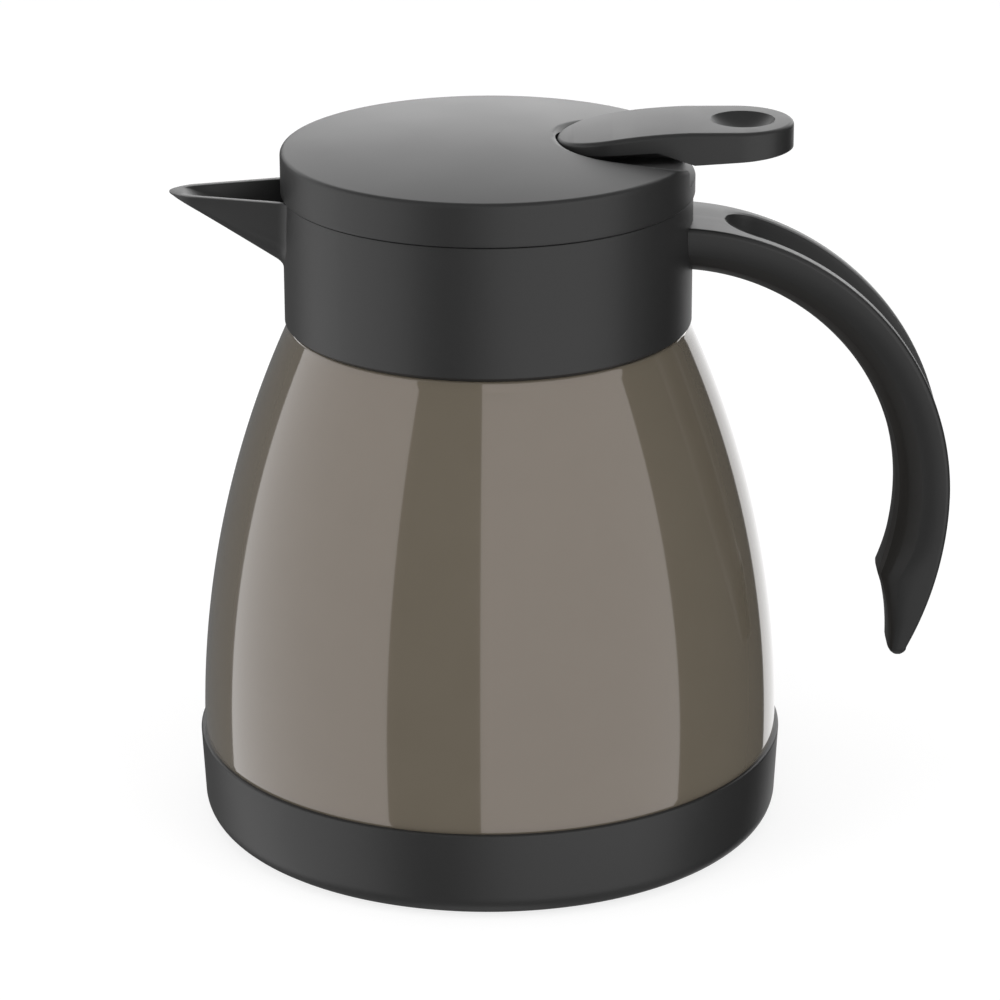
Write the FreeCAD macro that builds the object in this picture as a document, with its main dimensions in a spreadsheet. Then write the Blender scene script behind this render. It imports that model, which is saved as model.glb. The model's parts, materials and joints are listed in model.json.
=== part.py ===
"""Insulated teapot: a steel vacuum jug with a plastic base, collar, handle and a lid with a thumb lever.

Millimetres, +Z up. The origin is the middle of the foot, on the axis of the jug.
The spout points to -X and the handle to +X.
"""
import FreeCAD, Part
import math
import os
from types import SimpleNamespace

import Sketcher

X_AXIS = FreeCAD.Vector(1, 0, 0)
Y_AXIS = FreeCAD.Vector(0, 1, 0)
Z_AXIS = FreeCAD.Vector(0, 0, 1)

doc = FreeCAD.newDocument("insulated_teapot")


# Driving dimensions

DIMENSIONS = {
    # base cup
    "base_radius": 65.0,
    "base_height": 20.0,
    "base_taper": 0.7,
    "base_round": 5.4,
    "base_floor": 2.4,
    "foot_rise": 1.6,
    "foot_width": 6.0,
    "base_lip": 0.9,
    # steel body
    "body_height": 94.0,
    "collar_overhang": 0.87,
    "steel_wall": 0.8,
    "tuck_depth": 2.4,
    "ledge_bend": 0.9,
    "neck_ledge": 8.3,
    "neck_height": 11.0,
    "neck_gap": 3.1,
    "vacuum_gap": 4.5,
    "liner_wall": 0.6,
    "liner_corner": 12.0,
    "liner_shoulder": 6.0,
    "plate_lift": 1.6,
    "plate_dish": 1.2,
    "dish_radius": 20.0,
    "evacuation_hole": 1.5,
    "plug_cap_radius": 5.0,
    "plug_cap_height": 0.9,
    "getter_radius": 6.0,
    "getter_height": 1.8,
    "getter_offset": 34.0,
    # collar
    "collar_radius": 44.3,
    "collar_height": 29.1,
    "collar_wall": 2.2,
    "collar_chamfer": 0.8,
    "collar_plate": 2.4,
    "hub_gap": 0.3,
    "hub_wall": 2.2,
    "hub_drop": 10.0,
    "seal_height": 1.6,
    # spout
    "spout_sink": 1.6,
    "spout_root_half": 11.9,
    "spout_root_depth": 18.0,
    "spout_length": 24.6,
    "spout_nose_half": 5.4,
    "spout_nose_depth": 3.5,
    "spout_wall": 1.8,
    # neck sleeve
    "sleeve_gap": 0.6,
    "sleeve_wall": 2.2,
    "sleeve_drop": 17.0,
    "sleeve_flange_width": 3.3,
    "sleeve_flange_height": 1.2,
    # handle
    "handle_inset": 4.9,
    "handle_drop": 38.0,
    "handle_outer_arc": 61.5,
    "handle_depth": 11.5,
    "handle_half_width": 11.5,
    "handle_low_arc": 75.0,
    "handle_belly_arc": 60.0,
    "handle_kink_drop": 19.9,
    "handle_tip_drop": 37.3,
    "handle_tip_thickness": 3.0,
    "handle_tip_half_width": 6.5,
    "handle_belly_round": 7.5,
    "handle_edge_round": 1.0,
    "groove_lift": 4.5,
    "groove_tube": 9.2,
    "groove_start": 72.0,
    "groove_end": 16.0,
    "tenon_half_width": 8.0,
    "tenon_height": 5.0,
    "tenon_reach": 5.0,
    "tenon_gap": 0.15,
    "socket_wall": 1.8,
    "handle_screw_spread": 4.5,
    "handle_screw_length": 9.0,
    # screws
    "screw_radius": 1.3,
    "screw_head_radius": 2.5,
    "screw_head_height": 1.4,
    "screw_gap": 0.1,
    # lid cap
    "lid_gap": 0.3,
    "lid_overhang": 0.4,
    "lid_height": 9.2,
    "lid_edge_round": 1.0,
    "dome_rise": 2.9,
    "lid_wall": 2.0,
    "slot_gap": 0.5,
    "well_run": 2.5,
    "slot_floor_rise": 3.3,
    "slot_skin": 1.5,
    "slot_cheek": 3.0,
    "valley_lag": 1.2,
    "valley_run_out": 3.3,
    "valley_start_drop": 2.4,
    "valley_end_drop": 7.9,
    "valley_start_half": 13.2,
    "valley_end_half": 46.0,
    "valley_height": 4.0,
    "lid_screw_inset": 7.4,
    "lid_boss_radius": 3.2,
    # thumb lever
    "pivot_place": 20.0,
    "pivot_rise": 6.6,
    "nose_run": 5.2,
    "lever_overhang": 21.0,
    "lever_half_width": 12.2,
    "lever_nose_thickness": 1.6,
    "lever_rise": 3.1,
    "lever_flat_lead": 1.0,
    "lever_crown_arc": 135.0,
    "lever_end_thickness": 5.6,
    "heel_inset": 0.7,
    "lever_heel_thickness": 7.0,
    "waist_run": 8.0,
    "lever_waist_thickness": 4.2,
    "lever_edge_round": 1.0,
    "dimple_inset": 11.0,
    "dimple_radius": 6.8,
    "dimple_depth": 1.9,
    "pin_radius": 1.5,
    "pin_gap": 0.1,
    "barrel_radius": 3.0,
    "barrel_half_width": 6.8,
    "fork_rise": 2.95,
    "fork_radius": 1.25,
    "fork_half_width": 6.0,
    "fork_slot_half": 3.1,
    # stopper
    "thread_room": 1.7,
    "stopper_wall": 2.2,
    "stopper_floor": 2.0,
    "seat_radius": 8.0,
    "seat_land": 1.0,
    "seat_rise": 0.5,
    "shoulder_overlap": 1.8,
    "shoulder_height": 1.5,
    "gasket_height": 1.5,
    "gasket_gap": 1.4,
    "window_height": 4.9,
    "window_width": 14.0,
    "window_sill": 0.4,
    "deck_height": 2.0,
    "deck_drop": 2.3,
    "flange_gap": 0.3,
    "stopper_flange_height": 1.8,
    # valve
    "stem_radius": 2.4,
    "stem_gap": 0.1,
    "stem_seal_radius": 4.2,
    "stem_seal_height": 1.5,
    "guide_radius": 6.0,
    "head_radius": 6.4,
    "head_height": 1.6,
    "head_gap": 0.3,
    "washer_radius": 11.0,
    "washer_height": 1.3,
    "disc_radius": 11.6,
    "disc_height": 1.8,
    "clip_radius": 4.6,
    "clip_height": 0.8,
    "stem_tail": 0.8,
    "spring_radius": 4.6,
    "spring_wire": 0.5,
    "spring_seat_gap": 0.1,
}
WINDOW_PAIRS = 3
LID_SCREW_ANGLES = (60.0, 180.0, 300.0)
SPRING_TURNS = 6
# shape of the spout's section: share of its depth in the flanks, width left at their foot, and the
# vertical thickness of the slanted keel for each millimetre of wall
SPOUT_FLANK = 0.55
SPOUT_DRAW_IN = 0.86
KEEL_SLANT = 1.2
TOLERANCE = 1e-3

sheet = doc.addObject("Spreadsheet::Sheet", "Sizes")
for row, (alias, value) in enumerate(DIMENSIONS.items(), start=1):
    sheet.set(f"A{row}", alias)
    sheet.set(f"B{row}", str(value))
    sheet.setAlias(f"B{row}", alias)
doc.recompute()


class Size:
    """A length that knows its number and the sheet expression that it comes from."""

    def __init__(self, number, text):
        self.number = number
        self.text = text

    def joined(self, sign, other, number):
        return Size(number, f"({self.text} {sign} {other.text})")

    def __add__(self, other):
        other = as_size(other)
        return self.joined("+", other, self.number + other.number)

    def __radd__(self, other):
        return as_size(other) + self

    def __sub__(self, other):
        other = as_size(other)
        return self.joined("-", other, self.number - other.number)

    def __rsub__(self, other):
        return as_size(other) - self

    def __mul__(self, other):
        other = as_size(other)
        return self.joined("*", other, self.number * other.number)

    def __rmul__(self, other):
        return as_size(other) * self

    def __truediv__(self, other):
        other = as_size(other)
        return self.joined("/", other, self.number / other.number)

    def __neg__(self):
        return Size(-self.number, f"(0 - {self.text})")


def as_size(value):
    return value if isinstance(value, Size) else Size(float(value), f"{float(value):.9g}")


def root(value):
    return Size(math.sqrt(value.number), f"sqrt({value.text})")


def sine(angle):
    return Size(math.sin(math.radians(angle.number)), f"sin({angle.text})")


def cosine(angle):
    return Size(math.cos(math.radians(angle.number)), f"cos({angle.text})")


S = SimpleNamespace(**{alias: Size(float(sheet.get(alias)), f"Sizes.{alias}") for alias in DIMENSIONS})
ZERO = as_size(0)


# Helpers for sketches, bodies and booleans

def bind(thing, path, value):
    """Ties one property of a document object to a size."""
    thing.setExpression(path, as_size(value).text)


def origin_feature(body, role):
    return next(feature for feature in body.Origin.OriginFeatures if feature.Role == role)


def sketch_on(body, role, offset=None):
    sketch = body.newObject("Sketcher::SketchObject", f"{body.Name}_outline")
    sketch.AttachmentSupport = [(origin_feature(body, role), "")]
    sketch.MapMode = "FlatFace"
    if offset is not None:
        bind(sketch, "AttachmentOffset.Base.z", offset)
    return sketch


def pin_point(sketch, edge, end, across, up):
    """Holds one end of an edge at (across, up) from the sketch's origin."""
    for kind, value, axis in (("DistanceX", across, -2), ("DistanceY", up, -1)):
        if abs(value.number) < 1e-9:
            sketch.addConstraint(Sketcher.Constraint("PointOnObject", edge, end, axis))
            continue
        if value.number > 0:
            rule = Sketcher.Constraint(kind, -1, 1, edge, end, value.number)
            text = value.text
        else:
            rule = Sketcher.Constraint(kind, edge, end, -1, 1, -value.number)
            text = (-value).text
        index = sketch.addConstraint(rule)
        sketch.setExpression(f"Constraints[{index}]", text)


def draw(sketch, corners, bends=None):
    """Closed outline through corners. bends[i] = (radius, side) makes the edge after corner i an arc.

    side is +1 where the arc turns left along the direction of travel, and -1 where it turns right.
    """
    bends = bends or {}
    corners = [(as_size(across), as_size(up)) for across, up in corners]
    points = [FreeCAD.Vector(across.number, up.number, 0) for across, up in corners]
    ends = []
    for index, start in enumerate(points):
        stop = points[(index + 1) % len(points)]
        if index not in bends:
            edge = sketch.addGeometry(Part.LineSegment(start, stop))
            ends.append((edge, 1, 2))
            continue
        radius, side = bends[index]
        radius = as_size(radius)
        chord = stop - start
        left = FreeCAD.Vector(-chord.y, chord.x, 0).normalize()
        reach = math.sqrt(max(radius.number ** 2 - chord.Length ** 2 / 4, 0.0))
        centre = (start + stop) / 2 + left * reach * side
        first, last = (start, stop) if side > 0 else (stop, start)
        angles = [math.atan2(point.y - centre.y, point.x - centre.x) for point in (first, last)]
        circle = Part.Circle(centre, Z_AXIS, radius.number)
        edge = sketch.addGeometry(Part.ArcOfCircle(circle, angles[0], angles[1]))
        ends.append((edge, 1, 2) if side > 0 else (edge, 2, 1))
        rule = sketch.addConstraint(Sketcher.Constraint("Radius", edge, radius.number))
        sketch.setExpression(f"Constraints[{rule}]", radius.text)
    for index, (edge, start, stop) in enumerate(ends):
        next_edge, next_start, _ = ends[(index + 1) % len(ends)]
        sketch.addConstraint(Sketcher.Constraint("Coincident", edge, stop, next_edge, next_start))
        pin_point(sketch, edge, start, *corners[index])


def new_body(name):
    body = doc.addObject("PartDesign::Body", name)
    body.Label = name
    return body


def turned(name, corners, bends=None):
    """A body turned about the jug's axis from an outline of (radius, height) corners."""
    body = new_body(name)
    sketch = sketch_on(body, "XZ_Plane")
    draw(sketch, corners, bends)
    turn = body.newObject("PartDesign::Revolution", f"{name}_turn")
    turn.Profile = sketch
    turn.ReferenceAxis = (origin_feature(body, "Z_Axis"), [""])
    turn.Angle = 360.0
    body.Tip = turn
    return body


def padded(name, role, corners, width, bends=None, start=None):
    """A body padded from an outline: to both sides of the plane, or from start along its normal."""
    body = new_body(name)
    sketch = sketch_on(body, role, start)
    draw(sketch, corners, bends)
    pad = body.newObject("PartDesign::Pad", f"{name}_pad")
    pad.Profile = sketch
    if start is None:
        pad.Midplane = True
    bind(pad, "Length", width)
    body.Tip = pad
    return body


def lofted(name, role, sections):
    """A body with straight sides between outlines: each section is (offset, corners, bends)."""
    body = new_body(name)
    sketches = []
    for offset, corners, bends in sections:
        sketch = sketch_on(body, role, offset)
        draw(sketch, corners, bends)
        sketches.append(sketch)
    loft = body.newObject("PartDesign::AdditiveLoft", f"{name}_loft")
    loft.Profile = sketches[0]
    loft.Sections = sketches[1:]
    loft.Ruled = True
    body.Tip = loft
    return body


def place(thing, at, rotation=None):
    if rotation is not None:
        thing.Placement = FreeCAD.Placement(FreeCAD.Vector(0, 0, 0), rotation)
    for letter, value in zip("xyz", at):
        bind(thing, f"Placement.Base.{letter}", value)
    return thing


def cylinder(name, radius, height, at, rotation=None):
    thing = doc.addObject("Part::Cylinder", name)
    bind(thing, "Radius", radius)
    bind(thing, "Height", height)
    return place(thing, at, rotation)


def sphere(name, radius, at):
    thing = doc.addObject("Part::Sphere", name)
    bind(thing, "Radius", radius)
    return place(thing, at)


def box(name, low, high):
    thing = doc.addObject("Part::Box", name)
    for side, first, last in zip(("Length", "Width", "Height"), low, high):
        bind(thing, side, as_size(last) - first)
    return place(thing, low)


def fused(name, *shapes):
    thing = doc.addObject("Part::MultiFuse", name)
    thing.Shapes = list(shapes)
    thing.Refine = True
    return thing


def cut(name, base, *tools):
    tool = tools[0] if len(tools) == 1 else fused(f"{name}_tools", *tools)
    thing = doc.addObject("Part::Cut", name)
    thing.Base = base
    thing.Tool = tool
    thing.Refine = True
    return thing


def shared(name, first, second):
    thing = doc.addObject("Part::MultiCommon", name)
    thing.Shapes = [first, second]
    thing.Refine = True
    return thing


def group(name, *shapes):
    thing = doc.addObject("Part::Compound", name)
    thing.Links = list(shapes)
    return thing


ALONG_X = FreeCAD.Rotation(Y_AXIS, 90)
ALONG_Y = FreeCAD.Rotation(X_AXIS, -90)


# Levels and radii that several pieces share

base_top = S.base_height
shell_foot = S.foot_rise + S.base_floor
collar_bottom = base_top + S.body_height
collar_top = collar_bottom + S.collar_height
shell_top = collar_bottom + S.neck_height - S.liner_wall
liner_lip = collar_bottom + S.neck_height
plate_under = liner_lip + S.seal_height
plate_top = plate_under + S.collar_plate
sleeve_top = plate_top + S.sleeve_flange_height
shoulder_under = sleeve_top + S.gasket_height
shoulder_top = shoulder_under + S.shoulder_height
lid_bottom = collar_top + S.lid_gap
lid_rim = lid_bottom + S.lid_height
dome_top = lid_rim + S.dome_rise
stopper_bottom = plate_top - S.sleeve_drop
stopper_floor_top = stopper_bottom + S.stopper_floor
deck_top = lid_bottom - S.deck_drop
deck_under = deck_top - S.deck_height
flange_top = lid_bottom + S.stopper_flange_height

shell_radius = S.base_radius - S.base_lip
bell_inset = shell_radius - S.collar_radius + S.collar_overhang
bell_arc = (bell_inset * bell_inset + S.body_height * S.body_height) / (2 * bell_inset)
collar_inner = S.collar_radius - S.collar_wall
neck_radius = S.collar_radius - S.neck_ledge
neck_bore = neck_radius - S.neck_gap - S.liner_wall
hub_inner = neck_radius + S.hub_gap
hub_outer = hub_inner + S.hub_wall
sleeve_outer = neck_bore - S.sleeve_gap
sleeve_inner = sleeve_outer - S.sleeve_wall
sleeve_flange = sleeve_outer + S.sleeve_flange_width
stopper_radius = sleeve_inner - S.thread_room
shoulder_radius = sleeve_outer + S.shoulder_overlap
gasket_inner = stopper_radius + S.gasket_gap
lid_radius = S.collar_radius + S.lid_overhang
stopper_flange = lid_radius - S.lid_wall - S.flange_gap
lid_screw_ring = stopper_flange - S.lid_screw_inset

spout_root = collar_inner - S.spout_sink
spout_reach = S.collar_radius + S.spout_length
handle_centre = S.collar_radius - S.handle_inset
handle_level = collar_bottom - S.handle_drop
groove_ring = S.handle_outer_arc + S.groove_lift

lever_start = S.pivot_place - S.nose_run
lever_end = lid_radius + S.lever_overhang
lever_heel = lid_radius - S.heel_inset
lever_waist = lever_heel - S.waist_run
lever_flat_start = lever_heel - S.lever_flat_lead
lever_top = dome_top + S.lever_rise
dimple_place = lever_end - S.dimple_inset
pivot_level = lid_bottom + S.pivot_rise
fork_level = lid_bottom + S.fork_rise
slot_start = lever_start - S.slot_gap
slot_floor_start = S.pivot_place + S.well_run
valley_start = lever_start + S.valley_lag
valley_end = lid_radius + S.valley_run_out


def bell_radius(inset, level):
    """Radius of the bell's arc, moved in by inset, at a level above the base."""
    rise = level - base_top
    return shell_radius - bell_arc + root((bell_arc - inset) * (bell_arc - inset) - rise * rise)


# Base cup

def make_base_cup():
    foot_radius = S.base_radius - S.base_taper - S.base_round
    wall_low = S.base_radius - S.base_taper
    tuck_radius = shell_radius - S.tuck_depth
    corners = [
        (ZERO, S.foot_rise),
        (foot_radius - S.foot_width, S.foot_rise),
        (foot_radius - S.foot_width, ZERO),
        (foot_radius, ZERO),
        (wall_low, S.base_round),
        (S.base_radius, base_top),
        (shell_radius, base_top),
        (tuck_radius, shell_foot),
        (ZERO, shell_foot),
    ]
    return turned("base_cup", corners, {3: (S.base_round, 1)})


# Vacuum body

def make_outer_shell():
    tuck_radius = shell_radius - S.tuck_depth
    wall = S.steel_wall
    bend_start = collar_bottom - S.ledge_bend
    ledge_under = collar_bottom - wall
    ledge_edge = bell_radius(ZERO, bend_start) - S.ledge_bend
    corners = [
        (tuck_radius, shell_foot),
        (shell_radius, base_top),
        (bell_radius(ZERO, bend_start), bend_start),
        (ledge_edge, collar_bottom),
        (neck_radius, collar_bottom),
        (neck_radius, shell_top),
        (neck_radius - wall, shell_top),
        (neck_radius - wall, ledge_under),
        (bell_radius(wall, ledge_under), ledge_under),
        (shell_radius - wall, base_top),
        (tuck_radius - wall, shell_foot),
    ]
    bends = {1: (bell_arc, 1), 2: (S.ledge_bend, 1), 8: (bell_arc - wall, -1)}
    return turned("outer_shell", corners, bends)


def make_shell_bottom():
    rim = shell_radius - S.tuck_depth - S.steel_wall
    low = shell_foot + S.plate_lift
    dish = low + S.plate_dish
    wall = S.steel_wall
    corners = [
        (S.evacuation_hole, dish),
        (S.dish_radius, dish),
        (S.dish_radius + S.plate_dish, low),
        (rim - wall, low),
        (rim - wall, shell_foot),
        (rim, shell_foot),
        (rim, low + wall),
        (S.dish_radius + S.plate_dish, low + wall),
        (S.dish_radius, dish + wall),
        (S.evacuation_hole, dish + wall),
    ]
    return turned("shell_bottom", corners)


def make_vacuum_plug():
    dish = shell_foot + S.plate_lift + S.plate_dish
    corners = [
        (ZERO, dish - S.plug_cap_height),
        (S.plug_cap_radius, dish - S.plug_cap_height),
        (S.plug_cap_radius, dish),
        (S.evacuation_hole, dish),
        (S.evacuation_hole, dish + S.steel_wall),
        (ZERO, dish + S.steel_wall),
    ]
    return turned("vacuum_plug", corners)


def make_getter_disc():
    level = shell_foot + S.plate_lift + S.steel_wall
    return cylinder("getter_disc", S.getter_radius, S.getter_height, (S.getter_offset, ZERO, level))


def make_inner_liner():
    outer = S.steel_wall + S.vacuum_gap
    inner = outer + S.liner_wall
    wall = S.liner_wall
    corner_top = base_top + S.vacuum_gap
    bottom = corner_top - S.liner_corner
    shoulder = collar_bottom - S.liner_shoulder
    belly = bell_radius(outer, corner_top)
    corners = [
        (ZERO, bottom),
        (belly - S.liner_corner, bottom),
        (belly, corner_top),
        (bell_radius(outer, shoulder), shoulder),
        (neck_bore + wall, collar_bottom),
        (neck_bore + wall, shell_top),
        (neck_radius, shell_top),
        (neck_radius, liner_lip),
        (neck_bore, liner_lip),
        (neck_bore, collar_bottom),
        (bell_radius(inner, shoulder), shoulder),
        (bell_radius(inner, corner_top), corner_top),
        (belly - S.liner_corner, bottom + wall),
        (ZERO, bottom + wall),
    ]
    bends = {
        1: (S.liner_corner, 1),
        2: (bell_arc - outer, 1),
        10: (bell_arc - inner, -1),
        11: (S.liner_corner - wall, -1),
    }
    return turned("inner_liner", corners, bends)


# Collar with its spout

def spout_section(half, depth):
    """A trough with drawn-in flanks and a round keel: corners across and up, and the keel's arc."""
    keel_half = half * SPOUT_DRAW_IN
    keel_rise = depth * (1 - SPOUT_FLANK)
    keel_start = collar_top - depth + keel_rise
    corners = [(-half, collar_top), (-keel_half, keel_start), (keel_half, keel_start), (half, collar_top)]
    return corners, (keel_half * keel_half + keel_rise * keel_rise) / (2 * keel_rise)


def spout_form(name, inset):
    """Tapering trough from the collar to a round nose, drawn inset from the outer faces."""
    nose_x = spout_reach - S.spout_nose_half
    drop = inset * KEEL_SLANT
    sections = []
    for offset, half, depth in (
        (-spout_root, S.spout_root_half - inset, S.spout_root_depth - drop),
        (-nose_x, S.spout_nose_half - inset, S.spout_nose_depth - drop),
    ):
        corners, keel = spout_section(half, depth)
        sections.append((offset, corners, {1: (keel, 1)}))
    trough = lofted(f"{name}_trough", "YZ_Plane", sections)
    right_flank = corners[2:]
    nose = turned(f"{name}_nose", [
        (ZERO, collar_top - depth),
        *right_flank,
        (ZERO, collar_top),
    ], {0: (keel, 1)})
    bind(nose, "Placement.Base.x", -nose_x)
    return trough, nose


def make_collar():
    foot = S.collar_chamfer
    outside = turned("collar_outside", [
        (ZERO, collar_bottom),
        (S.collar_radius - foot, collar_bottom),
        (S.collar_radius, collar_bottom + foot),
        (S.collar_radius, collar_top),
        (ZERO, collar_top),
    ])
    above = collar_top + S.lid_gap
    below = collar_bottom - S.lid_gap
    hub_bottom = plate_under - S.hub_drop
    inside = turned("collar_inside", [
        (ZERO, below),
        (collar_inner, below),
        (collar_inner, plate_under),
        (hub_outer, plate_under),
        (hub_outer, hub_bottom),
        (hub_inner, hub_bottom),
        (hub_inner, plate_under),
        (sleeve_outer, plate_under),
        (sleeve_outer, plate_top),
        (collar_inner, plate_top),
        (collar_inner, above),
        (ZERO, above),
    ])
    trough, nose = spout_form("spout", ZERO)
    channel, channel_nose = spout_form("channel", S.spout_wall)
    shell = cut("collar_shell", fused("collar_block", outside, trough, nose), inside)
    spouted = cut("collar_spouted", shell, channel, channel_nose)
    socket_half = S.tenon_half_width + S.tenon_gap
    tenon_low = plate_top + S.socket_wall
    tenon_high = tenon_low + S.tenon_height
    socket_back = S.collar_radius - S.tenon_reach - S.tenon_gap
    boss = box(
        "socket_boss",
        (socket_back - S.socket_wall, -(socket_half + S.socket_wall), plate_top - S.collar_plate / 2),
        (S.collar_radius, socket_half + S.socket_wall, tenon_high + S.tenon_gap + S.socket_wall))
    rounded_boss = shared("socket_boss_round", boss, cylinder(
        "socket_limit", S.collar_radius - S.collar_wall / 2, S.collar_height, (ZERO, ZERO, collar_bottom)))
    socket = box(
        "socket_hole",
        (socket_back, -socket_half, tenon_low - S.tenon_gap),
        (S.collar_radius + S.tenon_reach, socket_half, tenon_high + S.tenon_gap))
    holes = [
        cylinder(
            f"socket_screw_hole_{side}", S.screw_radius + S.screw_gap, S.tenon_reach,
            (socket_back - 2 * S.socket_wall, side * S.handle_screw_spread, (tenon_low + tenon_high) / 2),
            ALONG_X)
        for side in (-1, 1)
    ]
    return cut("collar", fused("collar_with_socket", spouted, rounded_boss), socket, *holes)


def make_collar_seal():
    return turned("collar_seal", [
        (sleeve_outer, liner_lip),
        (neck_radius, liner_lip),
        (neck_radius, plate_under),
        (sleeve_outer, plate_under),
    ])


def make_neck_sleeve():
    return turned("neck_sleeve", [
        (sleeve_inner, stopper_bottom),
        (sleeve_outer, stopper_bottom),
        (sleeve_outer, plate_top),
        (sleeve_flange, plate_top),
        (sleeve_flange, sleeve_top),
        (sleeve_inner, sleeve_top),
    ])


# Handle

def side_edges(shape, half_width, radii):
    """Names of the arcs of these radii along both sides of the handle."""
    names = []
    for index, edge in enumerate(shape.Edges, start=1):
        on_side = all(abs(abs(vertex.Y) - half_width) < TOLERANCE for vertex in edge.Vertexes)
        bow = getattr(edge.Curve, "Radius", 0.0)
        if on_side and any(abs(bow - radius) < TOLERANCE for radius in radii):
            names.append(f"Edge{index}")
    return names


def make_handle():
    outer = S.handle_outer_arc
    inner = outer - S.handle_depth
    centre, level = handle_centre, handle_level
    drop = S.handle_tip_drop
    tip = level - drop
    low_x = centre + outer - S.handle_low_arc
    tip_outer = low_x + root(S.handle_low_arc * S.handle_low_arc - drop * drop)
    kink_drop = S.handle_kink_drop
    kink = level - kink_drop
    belly_x = centre + inner - S.handle_belly_arc
    kink_x = belly_x + root(S.handle_belly_arc * S.handle_belly_arc - kink_drop * kink_drop)
    tip_round = S.handle_tip_thickness / 2
    corners = [
        (centre, level + outer),
        (centre + outer, level),
        (tip_outer, tip),
        (tip_outer - tip_round, tip - tip_round),
        (tip_outer - 2 * tip_round, tip),
        (kink_x, kink),
        (centre + inner, level),
        (centre, level + inner),
    ]
    bends = {
        0: (outer, -1),
        1: (S.handle_low_arc, -1),
        2: (tip_round, -1),
        3: (tip_round, -1),
        5: (S.handle_belly_arc, 1),
        6: (inner, 1),
    }
    half = S.handle_half_width
    body = padded("handle_bow", "XZ_Plane", corners, 2 * half, bends)
    doc.recompute()
    rounds = (
        ("handle_belly", (inner, S.handle_belly_arc), S.handle_belly_round),
        ("handle_edge", (outer, S.handle_low_arc), S.handle_edge_round),
    )
    for name, bows, radius in rounds:
        base = body.Tip
        fillet = body.newObject("PartDesign::Fillet", name)
        fillet.Base = (base, side_edges(base.Shape, half.number, [bow.number for bow in bows]))
        bind(fillet, "Radius", radius)
        body.Tip = fillet
        doc.recompute()

    far = S.handle_outer_arc * 2
    tips = [
        padded(f"handle_taper_{word}", "YZ_Plane", [
            (side * half, level),
            (side * S.handle_tip_half_width, tip),
            (side * S.handle_tip_half_width, ZERO),
            (side * half * 2, ZERO),
            (side * half * 2, level),
        ], 2 * far)
        for word, side in (("near", -1), ("far", 1))
    ]
    ring = doc.addObject("Part::Torus", "handle_groove")
    bind(ring, "Radius1", groove_ring)
    bind(ring, "Radius2", S.groove_tube)
    bind(ring, "Angle3", S.groove_start + S.groove_end)
    turn = FreeCAD.Rotation(Y_AXIS, S.groove_end.number) * FreeCAD.Rotation(X_AXIS, 90)
    place(ring, (centre, ZERO, level), turn)
    ends = [
        sphere(f"handle_groove_end_{word}", S.groove_tube,
               (centre + groove_ring * cosine(angle), ZERO, level + groove_ring * sine(angle)))
        for word, angle in (("top", S.groove_start), ("low", -S.groove_end))
    ]
    barrel = cylinder("handle_seat", S.collar_radius, collar_top, (ZERO, ZERO, ZERO))
    bow = cut("handle_cut", body, barrel, ring, *ends, *tips)
    tenon_low = plate_top + S.socket_wall
    tenon_mid = tenon_low + S.tenon_height / 2
    tenon = box(
        "handle_tenon",
        (S.collar_radius - S.tenon_reach, -S.tenon_half_width, tenon_low),
        (S.collar_radius + S.tenon_reach, S.tenon_half_width, tenon_low + S.tenon_height))
    pilot_start = S.collar_radius - S.tenon_reach - S.tenon_gap - S.socket_wall
    pilots = [
        cylinder(f"handle_pilot_{side}", S.screw_radius, S.handle_screw_length,
                 (pilot_start, side * S.handle_screw_spread, tenon_mid), ALONG_X)
        for side in (-1, 1)
    ]
    return cut("handle", fused("handle_with_tenon", bow, tenon), *pilots)


def screw(name, length, at, rotation):
    """A pan head with its shank: the head's flat face is at the place given, the shank runs on from it."""
    seat = (ZERO, ZERO, -S.screw_head_height)
    shank = cylinder(f"{name}_shank", S.screw_radius, length + S.screw_head_height, seat)
    head = cylinder(f"{name}_head", S.screw_head_radius, S.screw_head_height, seat)
    return place(fused(name, shank, head), at, rotation)


def make_handle_screws():
    seat = S.collar_radius - S.tenon_reach - S.tenon_gap - S.socket_wall
    level = plate_top + S.socket_wall + S.tenon_height / 2
    spread = S.handle_screw_spread
    return group("handle_screws", *[
        screw(f"handle_screw_{side}", S.handle_screw_length, (seat, side * spread, level), ALONG_X)
        for side in (-1, 1)
    ])


# Stopper

def make_stopper_gasket():
    return turned("stopper_gasket", [
        (gasket_inner, sleeve_top),
        (shoulder_radius, sleeve_top),
        (shoulder_radius, shoulder_under),
        (gasket_inner, shoulder_under),
    ])


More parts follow.
